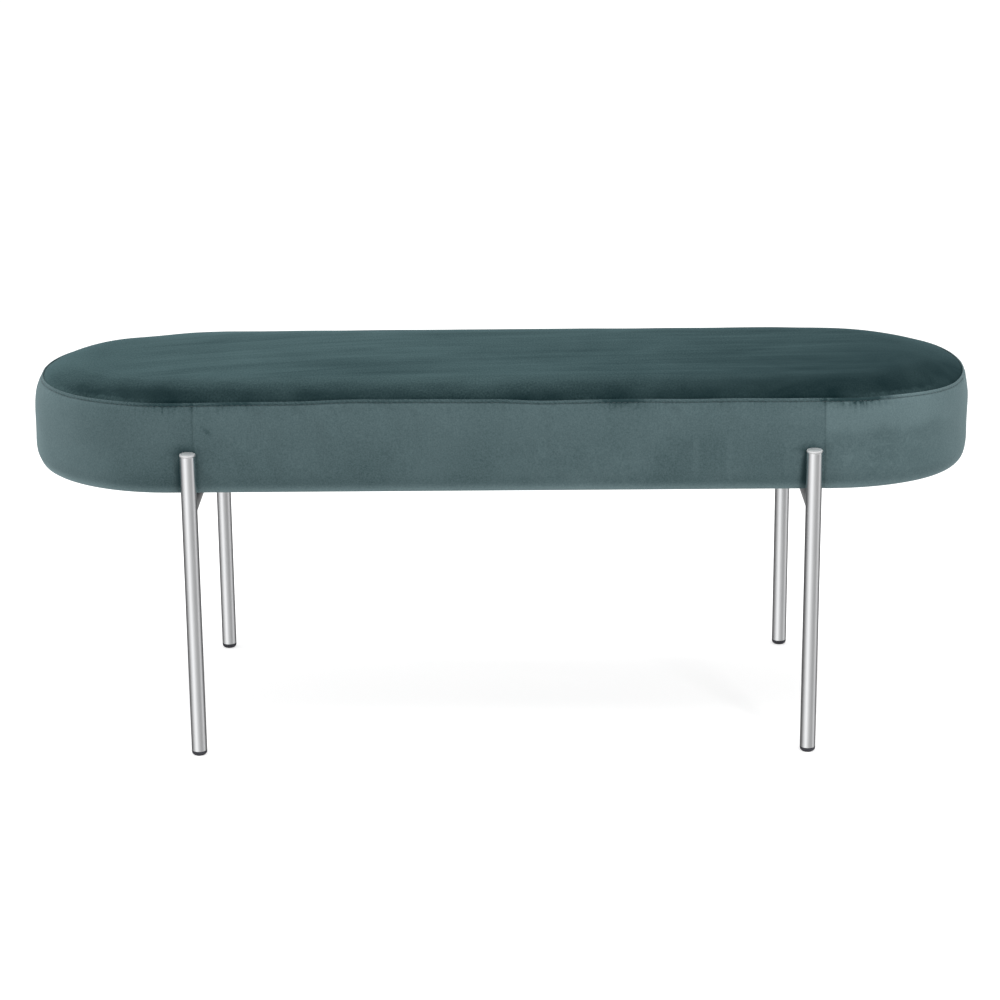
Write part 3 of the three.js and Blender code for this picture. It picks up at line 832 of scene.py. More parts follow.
def hiddenRows():
    # insets and heights behind the fold: its round top edge, rolled over, and the tuck below it
    radius, lift = coverSizes["foldRound"], coverSizes["foldRaise"]
    inset, height, outIn, outUp = sectionAt([-coverSizes["firstRow"]])
    out, along = np.array([outIn, outUp]), np.array([outUp, -outIn])
    roll = np.linspace(math.pi, 0, 9)[:-1]
    rolled = out * (lift - radius * (1 - np.cos(roll))) + along * radius * np.sin(roll)
    rolled = rolled + np.array([inset, height])
    tuck = np.array([1.8, 0.8]) * mm
    return np.concatenate([rolled[:, :1] - along * tuck, rolled], axis=1)[..., None]


def bandRows():
    # lengths below the seam, closest round the fold and its stitches
    fold = np.arange(coverSizes["firstRow"], 9 * mm, 0.55 * mm)
    return rowsThrough([*fold, 9 * mm], (20 * mm, 8), (84 * mm, 23), (118 * mm, 19), (-lastSideRow, 11))


def bandColumns(start, end):
    # they widen away from each vertical seam, and the first and last are the hidden return
    fine, growth = coverSizes["fineStep"], coverSizes["stepGrowth"]
    growing = math.ceil(math.log(coverSizes["columnStep"] / fine, growth))
    near = np.cumsum([0, *(fine * growth ** np.arange(growing))])
    count = round((end - start - 2 * near[-1]) / coverSizes["columnStep"])
    middle = np.linspace(start + near[-1], end - near[-1], count)[1:-1]
    return np.concatenate([[start], start + near, middle, (end - near)[::-1], [end]])[None, :]


# How much darker the nap of each panel lies
napTurn = {"front": 0.02, "right": -0.15, "rear": 0.0, "left": 0.07}
# Painted shadow of the legs on the band: left of each leg and right of it, and in a halo above it
legLow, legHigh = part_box("leg_front_right")
legShadowSizes = {
    "x": (legLow.x + legHigh.x) / 2, "top": legHigh.z,
    "halo": 0.42, "right": 0.1, "left": {-1: 0.42, 1: 0.58},
    **inMetres({"haloWidth": 13, "haloHeight": 8, "haloLeft": 4, "leftFrom": -12, "leftTo": -9,
                "leftWidens": 7, "rightFrom": 14, "rightTo": 9.5}),
}


def paintedLegShadow(points):
    # painted shadow: the shade to the left grows wider down the leg
    shadow = legShadowSizes
    x, y, z = np.moveaxis(points, -1, 0)
    above = z - shadow["top"]
    widens = shadow["leftWidens"] * smoothStep(above, 2 * mm, -22 * mm)
    total = 0
    for hand in (-1, 1):
        across = (x - hand * shadow["x"]) * np.where(y < 0, 1, -1)
        halo = hump(across + shadow["haloLeft"], shadow["haloWidth"])
        halo = halo * hump(np.clip(above, 0, None), shadow["haloHeight"])
        left = smoothStep(across, shadow["leftFrom"] - widens, shadow["leftTo"]) * (across < 0)
        right = smoothStep(across, shadow["rightFrom"], shadow["rightTo"]) * (across > 0)
        total = total + shadow["halo"] * halo * smoothStep(above, -6 * mm, 0)
        total = total + (shadow["left"][hand] * left + shadow["right"] * right) * smoothStep(above, 0, -3 * mm)
    return total


# How much painted shade and painted light the band takes: strengths, and lengths below the seam
bandShading = {
    "fold": 0.13, "foldToRight": -0.1, "foldFuzz": 0.09, "foldPuckerShade": 0.4, "stitches": 0.16, "puckers": 0.45,
    "dimple": 0.25, "puckerShade": 0.42, "side": 0.1, "sideTop": 0.25, "lower": 0.07, "turn": 0.03, "rim": -0.52,
    "rimAtRight": 0.25, "clouds": 0.025,
    **inMetres({"stitchWidth": 0.9, "sideWidth": 1.6, "turnBelow": 98, "cloudSize": 90}),
}


def bandShade(u, below, toEnd, points):
    # painted shade: darker toward the lower edge, on the fold, in the stitch dent, the puckers' creases, the
    # dimple and along the seams; a painted highlight on the round of the lower edge
    shading, x = bandShading, points[..., 0]
    past = below - coverSizes["foldWidth"]
    seamShaded = alongSeam(u, seamShadePatches)
    fold = shading["fold"] + shading["foldToRight"] * smoothStep(x, 60 * mm, 160 * mm) + shading["foldPuckerShade"] * seamShaded
    fold = fold + shading["foldFuzz"] * softNoise(54, 3.5 * mm, u, 2 * below)
    shade = fold * smoothStep(past, 1.5 * mm, -0.8 * mm)
    shade = shade + shading["stitches"] * hump(past - coverSizes["stitchBelow"], shading["stitchWidth"])
    shade = shade + shading["puckers"] * np.clip(-puckers(u, below), 0, 1) + shading["dimple"] * dimpleAt(u, below)
    # painted shade under the puckered stretches, and along the vertical seams and in the corner where each
    # starts
    puckerShade = np.clip(seamShaded - 0.1, 0, 1) * smoothStep(below, 15 * mm, 4 * mm)
    shade = shade + shading["puckerShade"] * puckerShade * (0.8 + 0.35 * noiseOver(55, 9 * mm, points))
    side = shading["side"] + shading["sideTop"] * hump(below - 4 * mm, 6 * mm)
    shade = shade + side * hump(toEnd, shading["sideWidth"])
    # painted shade, darker toward the lower edge, and a faint dark line above its round
    lower = shading["lower"] * smoothStep(below, 30 * mm, 90 * mm)
    lower = lower + shading["turn"] * hump(below - shading["turnBelow"], 5 * mm)
    # a painted highlight on the round of the lower edge, weaker at the right end
    rim = shading["rim"] + shading["rimAtRight"] * smoothStep(x, 400 * mm, 460 * mm)
    rim = rim * window(below, (102 * mm, 114 * mm), (132 * mm, 119 * mm))
    return shade + lower + rim + paintedLegShadow(points) + shading["clouds"] * noiseOver(51, shading["cloudSize"], points)


# Lighter and darker spots on the front band: x, distance below the seam, and their reaches, in millimetres,
# then the change
frontMarks = [(370, 18, 35, 14, -0.1), (75, 60, 75, 50, -0.045), (-230, 25, 90, 25, 0.03),
              (240, 75, 90, 15, -0.03), (280, 92, 70, 10, -0.06)]
# Strokes of a brush down the front: from x to x, change
frontStrokes = [(184, 230, 0.05), (230, 237, -0.04), (238, 270, 0.05), (271, 278, -0.05), (340, 388, -0.04)]
# Where fingers left brush marks in the band's pile: x, distance below the seam, their reaches, strength
brushMarks = [(120, 80, 80, 30, 0.5), (455, 72, 70, 30, 1)]
brushedEverywhere = 0.1
# Painted sheen lightens the end panels to the outside, and the right one is darker below a wavy line
endShading = {"left": -0.16, "leftBelow": -0.1, "right": -0.11, "rightBelow": 0.2}


def panelShade(name, u, below):
    x, angle = stationAt(u)
    if name == "left":
        outside = smoothStep(-np.cos(angle), 0.2, 0.8)
        return (endShading["left"] + endShading["leftBelow"] * smoothStep(below, 30 * mm, 80 * mm)) * outside
    if name == "right":
        wave = 5 * mm * softNoise(56, 60 * mm, u) + 1.2 * mm * softNoise(58, 18 * mm, u, below)
        turned = smoothStep(below + wave, 33 * mm, 50 * mm)
        return (endShading["right"] + endShading["rightBelow"] * turned) * smoothStep(np.cos(angle), 0.95, 0.6)
    if name == "rear":
        return 0.0
    down = window(below, (40 * mm, 55 * mm), (102 * mm, 88 * mm))
    soft = 2  # millimetres that a stroke's sides take to fade
    strokes = sum(change * window(x / mm, (first - soft, first + soft), (last + soft, last - soft))
                  for first, last, change in frontStrokes)
    return spots(frontMarks, x, below) + strokes * down


def makeBand(name, start, end):
    u, below = bandColumns(start, end), bandRows()
    inset, height, outIn, outUp = sectionAt(-below)
    hiddenIn, hiddenUp = hiddenRows()
    above = ((len(hiddenIn), 0), (0, 0))  # the hidden rows lie above the others
    rows = np.pad(-below, above)
    outIn, outUp = np.pad(outIn, above, "edge"), np.pad(outUp, above, "edge")
    toEnd = np.minimum(u - start, end - u)
    lift = np.pad(foldLift(u, below), above) + bandSides(toEnd, -rows)
    lift[:, [0, -1]] -= coverSizes["turnIn"]
    # turned-under cloth is gathered in small pleats round the ends
    _, angle = stationAt(u)
    gathered = window(-rows, (119 * mm, 124 * mm), (140 * mm, 130 * mm))
    pleat = np.clip(softNoise(41, coverSizes["pleatLength"], u), 0, None) * np.abs(np.cos(angle))
    lift = lift + coverSizes["pleatDrop"] * pleat * gathered
    points = shaped(u, rows, np.concatenate([hiddenIn, inset]) + outIn * lift,
                    np.concatenate([hiddenUp, height]) + outUp * lift)
    band = gridMesh(f"seat_band_{name}", points, velvetSide, closedColumns=False)
    setUv(band, together(u, rows).reshape(-1, 2)[loopVertices(band)])
    edge, _ = edgeAt(u)
    shade = napTurn[name] + bandShade(u, -rows, toEnd, points) + panelShade(name, u, -rows)
    setAttribute(band, "napAndPaintedShade", shade)
    setAttribute(band, "brushed", brushedEverywhere + spots(brushMarks, edge, -rows))
    setAttribute(band, "streaked", np.ones(points.shape[:2]))
    turnOut(band)
    settle(band, "velvet", f"cover_{name}_band", fill=0.9)
    return band


def turnOut(obj):
    # faces point away from the line through the middle of the seat
    half, middle = seat["straightHalf"], (seat["bottom"] + seat["crown"]) / 2
    vote = 0
    for polygon in obj.data.polygons:
        centre = polygon.center
        axis = Vector((max(-half, min(half, centre.x)), 0, middle))
        vote += polygon.normal.dot(centre - axis) * polygon.area
    if vote < 0:
        obj.data.flip_normals()


def faceUp(obj):
    if sum(polygon.normal.z * polygon.area for polygon in obj.data.polygons) < 0:
        obj.data.flip_normals()


def makeTop():
    sizes = coverSizes
    u = evenStations(sizes["columns"])
    groove = np.arange(0, 6 * mm, 0.6 * mm)
    rows = rowsThrough([*groove, 6 * mm], (20 * mm, 11), (70 * mm, 15), (lastTopRow, 25))
    inset, height, _, _ = sectionAt(rows)
    # the panel's edge drops into the groove behind the fold, and its hem hangs inside
    inset = inset - 1.0 * mm * hump(rows, 2.0 * mm)
    height = height - sizes["grooveDepth"] * hump(rows, sizes["grooveWidth"])
    hem = np.array([[1.0], [0.5]]) * sizes["hemDepth"]
    rows, inset = np.pad(rows, ((2, 0), (0, 0))), np.pad(inset, ((2, 0), (0, 0)), "edge")
    height = np.concatenate([height[0] - hem, height])
    ripple = 0.06 * mm * softNoise(61, 20 * mm, u) * hump(rows - 4 * mm, 7 * mm)
    # front and rear columns meet on the middle line, where they are merged
    top = gridMesh("seat_top_panel", shaped(u, rows, inset, height + ripple), velvetTop)
    tidyMesh(top, sharpDegrees=80)
    faceUp(top)
    coords = coordsOf(top)
    setAttribute(top, "napAndPaintedShade", topShade(coords))
    setAttribute(top, "streaked", streakShare(coords))
    setUv(top, strokeMap(coords)[loopVertices(top)])
    settle(top, "velvet", "cover_top", fill=0.9)
    return top


# Where the painted shade on the crown's front is darker or lighter still: x and reach in millimetres,
# strength
crownPatches = [(-425, 75, 0.2), (-235, 45, 0.22), (40, 60, 0.1), (150, 35, -0.14), (480, 70, -0.2)]
# Lighter and darker spots on the top: x, y, and their reaches, in millimetres, then the change
topMarks = [(-155, -95, 120, 15, 0.16), (45, -20, 60, 40, 0.08), (490, 20, 60, 40, 0.05),
            (-217, -37, 45, 24, 0.05), (-288, -100, 45, 12, 0.09), (57, -160, 18, 14, 0.04),
            (-95, -97, 50, 9, 0.06), (-330, -10, 30, 35, -0.08), (-160, -55, 100, 30, 0.13),
            (0, 20, 130, 70, 0.05)]
# Painted shade and painted light over the top: change, and from where to where it grows along x and y, in
# millimetres
toRightRamps = [(0.34, (20, 520)), (-0.07, (350, 520)), (0.13, (-120, 240), (80, -70))]
farLeftRamps = [(-0.2, (0, -320), (70, 150)), (-0.13, (-490, -560))]
# Strokes run along the map's first coordinate, slanting up to the right, and more so toward the left end
strokeSlant = {"slope": 0.07, "bend": 0.5, "bendFrom": -100 * mm}
crownShading = {
    "dark": 0.31, "outer": 0.58, "inner": 0.42, "toRight": -0.14, "edgeSheen": -0.2, "front": (-0.15, 0.75),
    "dips": [(-410, 80, -12 * mm), (0, 80, 8 * mm)],
}


def ramps(table, x, y):
    total = 0
    for change, *spans in table:
        for place, span in zip((x, y), spans):
            change = change * smoothStep(place, span[0] * mm, span[1] * mm)
        total = total + change
    return total


def fromTopSeam(points):
    # how far in from the top panel's seam, and how far a place lies to the front
    x, y, _ = points.T
    axis = np.clip(x, -seat["straightHalf"], seat["straightHalf"])
    radius = np.maximum(np.hypot(x - axis, y), 1 * mm)
    return seat["endRadius"] - seat["hemInset"] - radius, -y / radius


def streakShare(points):
    # the streaks die away on the crown's front and toward both ends
    fromSeam, toFront = fromTopSeam(points)
    onCrown = smoothStep(fromSeam, 70 * mm, 42 * mm) * smoothStep(toFront, 0, 0.6)
    return (1 - 0.9 * onCrown) * (1 - smoothStep(np.abs(points[:, 0]), 400 * mm, 530 * mm))


def strokeMap(points):
    x, y, _ = points.T
    left = np.clip(strokeSlant["bendFrom"] - x, 0, None)
    return together(x, y - strokeSlant["slope"] * x + strokeSlant["bend"] * left ** 2)


def topShade(points):
    # painted shade darkens the crown where it turns down toward the front seam, and the whole top toward the
    # right
    shading = crownShading
    x, y, _ = points.T
    fromSeam, toFront = fromTopSeam(points)
    inward = fromSeam + patches(shading["dips"], x) + 3 * mm * softNoise(71, 60 * mm, x, 2 * y)
    inward = inward + 1 * mm * softNoise(73, 18 * mm, x, 2 * y)
    crown = shading["inner"] * smoothStep(inward, 46 * mm, 33 * mm)
    crown = crown + shading["outer"] * smoothStep(inward, 36 * mm, 5 * mm)
    crown = crown * smoothStep(toFront + 0.4 * smoothStep(x, 380 * mm, 500 * mm), *shading["front"])
    mottle = 1 + 0.12 * softNoise(72, 70 * mm, x, y) + 0.05 * softNoise(74, 25 * mm, x, y)
    mottle = mottle + patches(crownPatches, x) + shading["toRight"] * smoothStep(x, 100 * mm, 260 * mm)
    # round both ends a painted sheen lies light along the seam
    edgeSheen = smoothStep(fromSeam + 1.5 * mm * softNoise(75, 12 * mm, x, y), 9 * mm, 2 * mm)
    edgeSheen = edgeSheen * smoothStep(np.abs(x), 400 * mm, 470 * mm) * smoothStep(x, 540 * mm, 510 * mm)
    shade = shading["dark"] * crown * mottle + ramps(toRightRamps, x, y) * (1 - 0.5 * crown)
    return shade + ramps(farLeftRamps, x, y) + shading["edgeSheen"] * edgeSheen + spots(topMarks, x, y)


panels = {
    "front": (lengthTo(seat["seamLeft"], -1), lengthTo(seat["seamRight"], -1)),
    "right": (lengthTo(seat["seamRight"], -1), lengthTo(seat["seamRight"], 1)),
    "rear": (lengthTo(seat["seamRight"], 1), lengthTo(seat["seamLeft"], 1)),
    "left": (lengthTo(seat["seamLeft"], 1), roundLength + lengthTo(seat["seamLeft"], -1)),
}
topPanel = makeTop()
bands = {name: makeBand(name, *ends) for name, ends in panels.items()}
print("cover made:", sum(len(o.data.polygons) for o in [topPanel, *bands.values()]), "faces")


# Side frames: legs, caps, feet and crossbars as turned and coped metal

legSizes = inMetres({
    "wall": 1.2, "edge": 0.25, "joint": 0.3, "capChamfer": 1.0, "plugGap": 0.35, "plugTaper": 1.0,
    "padRadius": 7.3, "padBevel": 0.6, "padBevelHeight": 0.3, "padEdgeRadius": 9.1, "padEdgeHeight": 2.2,
    "padWall": 1.2, "girth": 60,
})
tubeSteps = 96


def turnedPiece(name, profile, centre, material, steps=tubeSteps, sharpDegrees=40):
    # a body turned round a vertical axis: radius and height from axis to axis, or a closed loop
    angle = evenTurns(steps)
    rings = [together(centre.x + r * np.cos(angle), centre.y + r * np.sin(angle), z) for r, z in profile]
    return tidyMesh(gridMesh(name, rings, material), sharpDegrees)


def setCylinderUv(obj, centre, axis):
    # U runs along the tube and V round it, so the polish follows the tube
    coords, vertex = coordsOf(obj), loopVertices(obj)
    a, b = (np.delete(coords, axis, axis=1) - centre).T
    angle = (np.arctan2(b, a) / fullTurn)[vertex]
    for polygon in obj.data.polygons:
        part = slice(polygon.loop_start, polygon.loop_start + polygon.loop_total)
        if np.ptp(angle[part]) > 0.5:
            angle[part] = np.where(angle[part] < 0, angle[part] + 1, angle[part])
    setUv(obj, together(coords[vertex, axis], angle * legSizes["girth"]))


def makeLeg(place):
    sizes, centre = legSizes, middleOf(f"leg_{place}")
    low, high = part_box(f"leg_{place}")
    capLow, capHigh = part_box(f"leg_cap_{place}")
    footLow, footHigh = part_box(f"foot_{place}")
    radius, edge, chamfer, pad = (high.y - low.y) / 2, sizes["edge"], sizes["capChamfer"], sizes["padRadius"]
    bore = radius - sizes["wall"]
    plug = bore - sizes["plugGap"]
    capSeat, footSeat = high.z + sizes["joint"], low.z - sizes["joint"]
    tube = [(bore, low.z), (radius - edge, low.z), (radius, low.z + edge), (radius, high.z - edge),
            (radius - edge, high.z), (bore, high.z), (bore, low.z)]
    cap = [(0, capLow.z), (plug, capLow.z), (plug, capSeat), (radius - edge, capSeat),
           (radius, capSeat + edge), (radius, capHigh.z - chamfer),
           (radius - 0.3 * chamfer, capHigh.z - 0.3 * chamfer), (radius - chamfer, capHigh.z), (0, capHigh.z)]
    foot = [(0, footLow.z), (pad - sizes["padBevel"], footLow.z), (pad, footLow.z + sizes["padBevelHeight"]),
            (sizes["padEdgeRadius"], footLow.z + sizes["padEdgeHeight"]),
            (radius, footSeat - sizes["padWall"]), (radius, footSeat - edge), (radius - edge, footSeat),
            (plug, footSeat), (plug - sizes["plugTaper"], footHigh.z), (0, footHigh.z)]
    for name, profile, material, sharpDegrees, slotName, node in (
        ("leg_tube", tube, polishedTube, 40, "polished_tube", "leg"),
        ("leg_top", cap, satinCap, 30, "polished_tube", "leg_cap"),
        ("foot_pad", foot, footPlastic, 40, "foot_plastic", "foot"),
    ):
        piece = turnedPiece(f"{name}_{place}", profile, centre, material, sharpDegrees=sharpDegrees)
        setCylinderUv(piece, (centre.x, centre.y), axis=2)
        settle(piece, slotName, f"{node}_{place}")


weldSizes = {"sides": 12, "steps": 180, **inMetres({"radius": 1.3, "ripple": 0.15, "pitch": 1.6})}


def beadAlong(name, path, first, second, material, closed=False):
    # a bead with sunk ripples along a path, its section spanned by two directions
    sizes = weldSizes
    length = np.concatenate([[0], np.cumsum(np.linalg.norm(np.diff(path, axis=0), axis=1))])
    size = sizes["radius"] - sizes["ripple"] * np.abs(np.sin(math.pi * length / sizes["pitch"]))
    if not closed:
        size = size * np.sqrt(np.clip(np.minimum(length, length[-1] - length) / sizes["radius"], 0.02, 1))
    turn = evenTurns(sizes["sides"])[:, None]
    first, second = (np.broadcast_to(direction, path.shape)[:, None] for direction in (first, second))
    points = path[:, None] + (first * np.cos(turn) + second * np.sin(turn)) * size[:, None, None]
    return tidyMesh(gridMesh(name, points, material, closedRows=closed), sharpDegrees=80)


def copedY(leg, hand, radius, x):
    # where the bar's end stops at the round of the leg
    return leg.y - hand * np.sqrt((radius + legSizes["joint"]) ** 2 - x ** 2)


def makeCrossbar(side):
    centre = middleOf(f"crossbar_{side}")
    low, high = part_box(f"leg_front_{side}")
    radius = (high.x - low.x) / 2
    legs = {face: middleOf(f"leg_{face}_{side}") for face in faces}
    angle = evenTurns(tubeSteps)

    def rings(size):
        x, z = size * np.cos(angle), size * np.sin(angle)
        front, rear = (together(centre.x + x, copedY(legs[face], hand, radius, x), centre.z + z)
                       for face, hand in faces.items())
        share = np.linspace(0, 1, 9)[:, None, None]
        return front * (1 - share) + rear * share

    tube = np.concatenate([rings(radius), rings(radius - legSizes["wall"])[::-1]])
    bar = tidyMesh(gridMesh(f"crossbar_tube_{side}", tube, polishedTube, closedRows=True))
    setCylinderUv(bar, (centre.x, centre.z), axis=1)
    settle(bar, "polished_tube", f"crossbar_{side}")
    # a rippled weld runs round each end, along the line where the two tubes cross
    angle = evenTurns(weldSizes["steps"])
    x, z = (radius - weldSizes["radius"]) * np.cos(angle), radius * np.sin(angle)
    outward = together(np.cos(angle), 0, np.sin(angle))
    for face, hand in faces.items():
        path = together(legs[face].x + x, copedY(legs[face], hand, radius, x), centre.z + z)
        name = f"leg_weld_{face}_{side}"
        settle(beadAlong(name, path, outward, (0, -hand, 0), zincSteel, closed=True), "polished_tube")


def roundedOutline(centre, width, length, corner):
    points = []
    for quarter, (x, y) in enumerate([(1, 1), (-1, 1), (-1, -1), (1, -1)]):
        angle = quarterTurn * (quarter + np.linspace(0, 1, 11))
        points.append(together(centre.x + x * (width / 2 - corner) + corner * np.cos(angle),
                               centre.y + y * (length / 2 - corner) + corner * np.sin(angle)))
    return np.concatenate(points)


def circleOutline(centre, radius, steps=40):
    angle = evenTurns(steps)
    return together(centre.x + radius * np.cos(angle), centre.y + radius * np.sin(angle))


def flatPiece(name, outlines, thickness, bevel, z, material):
    # a filled flat curve with holes and rounded edges, made a mesh: its underside at z
    curve = bpy.data.curves.new(name, "CURVE")
    curve.dimensions = "2D"
    curve.fill_mode = "BOTH"
    curve.extrude = thickness / 2 - bevel
    curve.bevel_depth = bevel
    curve.bevel_resolution = 2
    curve.offset = -bevel
    for outline in outlines:
        spline = curve.splines.new("POLY")
        spline.points.add(len(outline) - 1)
        spline.use_cyclic_u = True
        for point, (x, y) in zip(spline.points, outline):
            point.co = (x, y, 0, 1)
    flat = link(name, curve)
    mesh = bpy.data.meshes.new_from_object(flat.evaluated_get(bpy.context.evaluated_depsgraph_get()))
    bpy.data.objects.remove(flat)
    mesh.transform(Matrix.Translation((0, 0, z + thickness / 2)))
    mesh.materials.clear()
    mesh.materials.append(material)
    setSmooth(mesh)
    return tidyMesh(link(name, mesh), sharpDegrees=50)


plateSizes = inMetres({"corner": 6, "thickness": 4, "bevel": 0.5, "hole": 3.4, "boltReach": 40,
                       "weldLength": 26, "weldAside": 6.6, "weldDrop": 1.4})
boltSizes = inMetres({"socket": 4, "socketDepth": 2, "socketCone": 0.5, "socketEdge": 0.25, "socketLip": 0.3,
                      "lipDrop": 0.02, "crown": 3.4, "crownEdge": 0.1, "rim": 1.1, "head": 3.3, "shank": 3,
                      "pitch": 1, "thread": 0.35, "tip": 0.5})
bolts = {number: middleOf(f"bolt_{number}") for number in range(1, 9)}


def makePlate(place):
    sizes = plateSizes
    low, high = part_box(f"mounting_plate_{place}")
    centre = middleOf(f"mounting_plate_{place}")
    barX = middleOf("crossbar_" + place.split("_")[1]).x
    thickness, reach = sizes["thickness"], sizes["boltReach"]
    bottom = high.z - thickness
    holes = [circleOutline(bolt, sizes["hole"]) for bolt in bolts.values()
             if abs(bolt.x - centre.x) < reach and abs(bolt.y - centre.y) < reach]
    outline = roundedOutline(centre, high.x - low.x, high.y - low.y, sizes["corner"])
    plate = flatPiece(f"plate_{place}", [outline, *holes], thickness, sizes["bevel"], bottom, rawSteel)
    settle(plate, "raw_steel", f"mounting_plate_{place}")
    # two rippled welds between the plate and the round of the bar
    y = centre.y + np.linspace(-sizes["weldLength"] / 2, sizes["weldLength"] / 2, 70)
    for hand, label in ((-1, "inner"), (1, "outer")):
        path = together(barX + hand * sizes["weldAside"], y, bottom - sizes["weldDrop"])
        settle(beadAlong(f"plate_weld_{label}_{place}", path, (1, 0, 0), (0, 0, 1), rawSteel), "raw_steel")


def makeBolt(number):
    # button head with a hexagon socket: rings run from the socket's floor, out over the head, up the shank
    sizes, steps = boltSizes, 48
    low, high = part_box(f"bolt_{number}")
    headRadius = (high.x - low.x) / 2
    corner, crown, shank = sizes["socket"] / math.sqrt(3), sizes["crown"], sizes["shank"]
    floor, seatZ = low.z + sizes["socketDepth"], low.z + sizes["head"]
    sixth = math.pi / 3
    hexagon = corner * math.cos(sixth / 2) / np.cos(np.mod(evenTurns(steps), sixth) - sixth / 2)
    rings = [(0, floor + sizes["socketCone"]), (0.9 * hexagon, floor), (hexagon, floor),
             (hexagon, low.z + sizes["socketEdge"]),
             (0.5 * (hexagon + corner + sizes["socketLip"]), low.z + sizes["lipDrop"]),
             (crown - sizes["crownEdge"], low.z)]
    for turn in np.linspace(0, quarterTurn, 7)[1:]:
        rings.append((crown + (headRadius - crown) * math.sin(turn),
                      low.z + (sizes["head"] - sizes["rim"]) * (1 - math.cos(turn))))
    rings += [(headRadius, seatZ), (shank, seatZ)]
    for i in range(2 * int((high.z - seatZ) / sizes["pitch"])):
        rings.append((shank - i % 2 * sizes["thread"], seatZ + (i + 1) * sizes["pitch"] / 2))
    rings += [(shank - sizes["tip"], high.z), (0, high.z)]
    bolt = turnedPiece(f"seat_bolt_{number}", rings, bolts[number], zincSteel, steps, sharpDegrees=35)
    settle(bolt, "zinc_steel", f"bolt_{number}")


for side in sides:
    for face in faces:
        makeLeg(f"{face}_{side}")
        makePlate(f"{face}_{side}")
    makeCrossbar(side)
for number in bolts:
    makeBolt(number)
print("side frames made")


# Padding under the cover, which follows the cover's own shape a little below it

paddingSizes = {
    "columns": 240, "crownRows": 26, "sideRows": 12, "stripRows": 22, "stripColumns": 80,
    **inMetres({"underCover": 2.4, "waddingThickness": 4.6, "crownStart": 6, "pastCrown": 60,
                "fluff": 0.25, "fluffSize": 15, "gap": 0.3, "slabGap": 0.5, "slabFoot": -42, "slabLedge": -9,
                "sideInner": 15.9, "stripTop": -46, "stripFoot": -110}),
}


def atHeight(rings, height):
    flat = rings.copy()
    flat[..., 2] = height
    return flat


def paddedBody(name, rings, material, slotName, node, fill):
    body = tidyMesh(closedBody(name, np.concatenate(rings), material), sharpDegrees=50)
    settle(body, slotName, node, fill=fill)


def rowsBetween(first, last, count):
    return np.linspace(first, last, count)[:, None]


def makePadding():
    sizes = paddingSizes
    u = evenStations(sizes["columns"])
    rows = rowsBetween(sizes["crownStart"], coverSizes["crownRun"] + sizes["pastCrown"], sizes["crownRows"])
    fluff = sizes["fluff"] * softNoise(81, sizes["fluffSize"], u, rows)
    under = sizes["underCover"] + sizes["waddingThickness"]
    bottom = coverPoints(u, rows, fluff - under)
    top = coverPoints(u, rows, fluff - sizes["underCover"] - sizes["gap"])
    paddedBody("wadding_layer", [bottom[::-1], top], wadding, "wadding", "top_wadding", 0.7)
    # the foam slab: up its side, in along the ledge under the hem, over its crown
    slabLow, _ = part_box("foam_slab")
    crown = coverPoints(u, rows, -under - sizes["slabGap"])
    sideRows = rowsBetween(sizes["slabFoot"], sizes["slabLedge"], sizes["sideRows"])
    side = coverPoints(u, sideRows, -sizes["underCover"])
    rings = [atHeight(side[:1], slabLow.z), side, atHeight(crown[:1], side[-1, :, 2]), crown]
    paddedBody("foam_block", rings, foam, "foam", "foam_slab", 1.0)


def makeFoamStrip(place, start, end):
    # a strip against the carcass, its outer face under the band
    sizes = paddingSizes
    low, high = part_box(f"side_foam_{place}")
    u = np.linspace(start + sizes["gap"], end - sizes["gap"], sizes["stripColumns"])[None, :]
    rows = rowsBetween(sizes["stripTop"], sizes["stripFoot"], sizes["stripRows"])
    outer = coverPoints(u, rows, -sizes["underCover"])
    inner = outlinePoints(u, sizes["sideInner"], high.z)
    section = np.concatenate([
        inner, atHeight(outer[:1], high.z), outer, atHeight(outer[-1:], low.z), atHeight(inner, low.z),
    ])
    paddedBody(f"foam_strip_{place}", [section.transpose(1, 0, 2)], foam, "foam", f"side_foam_{place}", 1.0)


makePadding()
stripStart = -seat["straightHalf"]
for place in ("front", "right", "rear", "left"):
    stripEnd = stripStart + (2 * seat["straightHalf"] if place in faces else arcLength)
    makeFoamStrip(place, stripStart, stripEnd)
    stripStart = stripEnd
print("padding made")


# Black non-woven cover under the seat, drawn flat between its staples

dustSizes = {
    "edgeSteps": 300, "holeSteps": 16,
    **inMetres({"hole": 3.6, "holeClear": 2, "edgeClear": 3, "gridStep": 11, "thickness": 0.5, "under": 0.1,
                "sag": 0.5, "sagWave": 70}),
}


def boltClear(x, y):
    return min(math.hypot(x - bolt.x, y - bolt.y) for bolt in bolts.values())


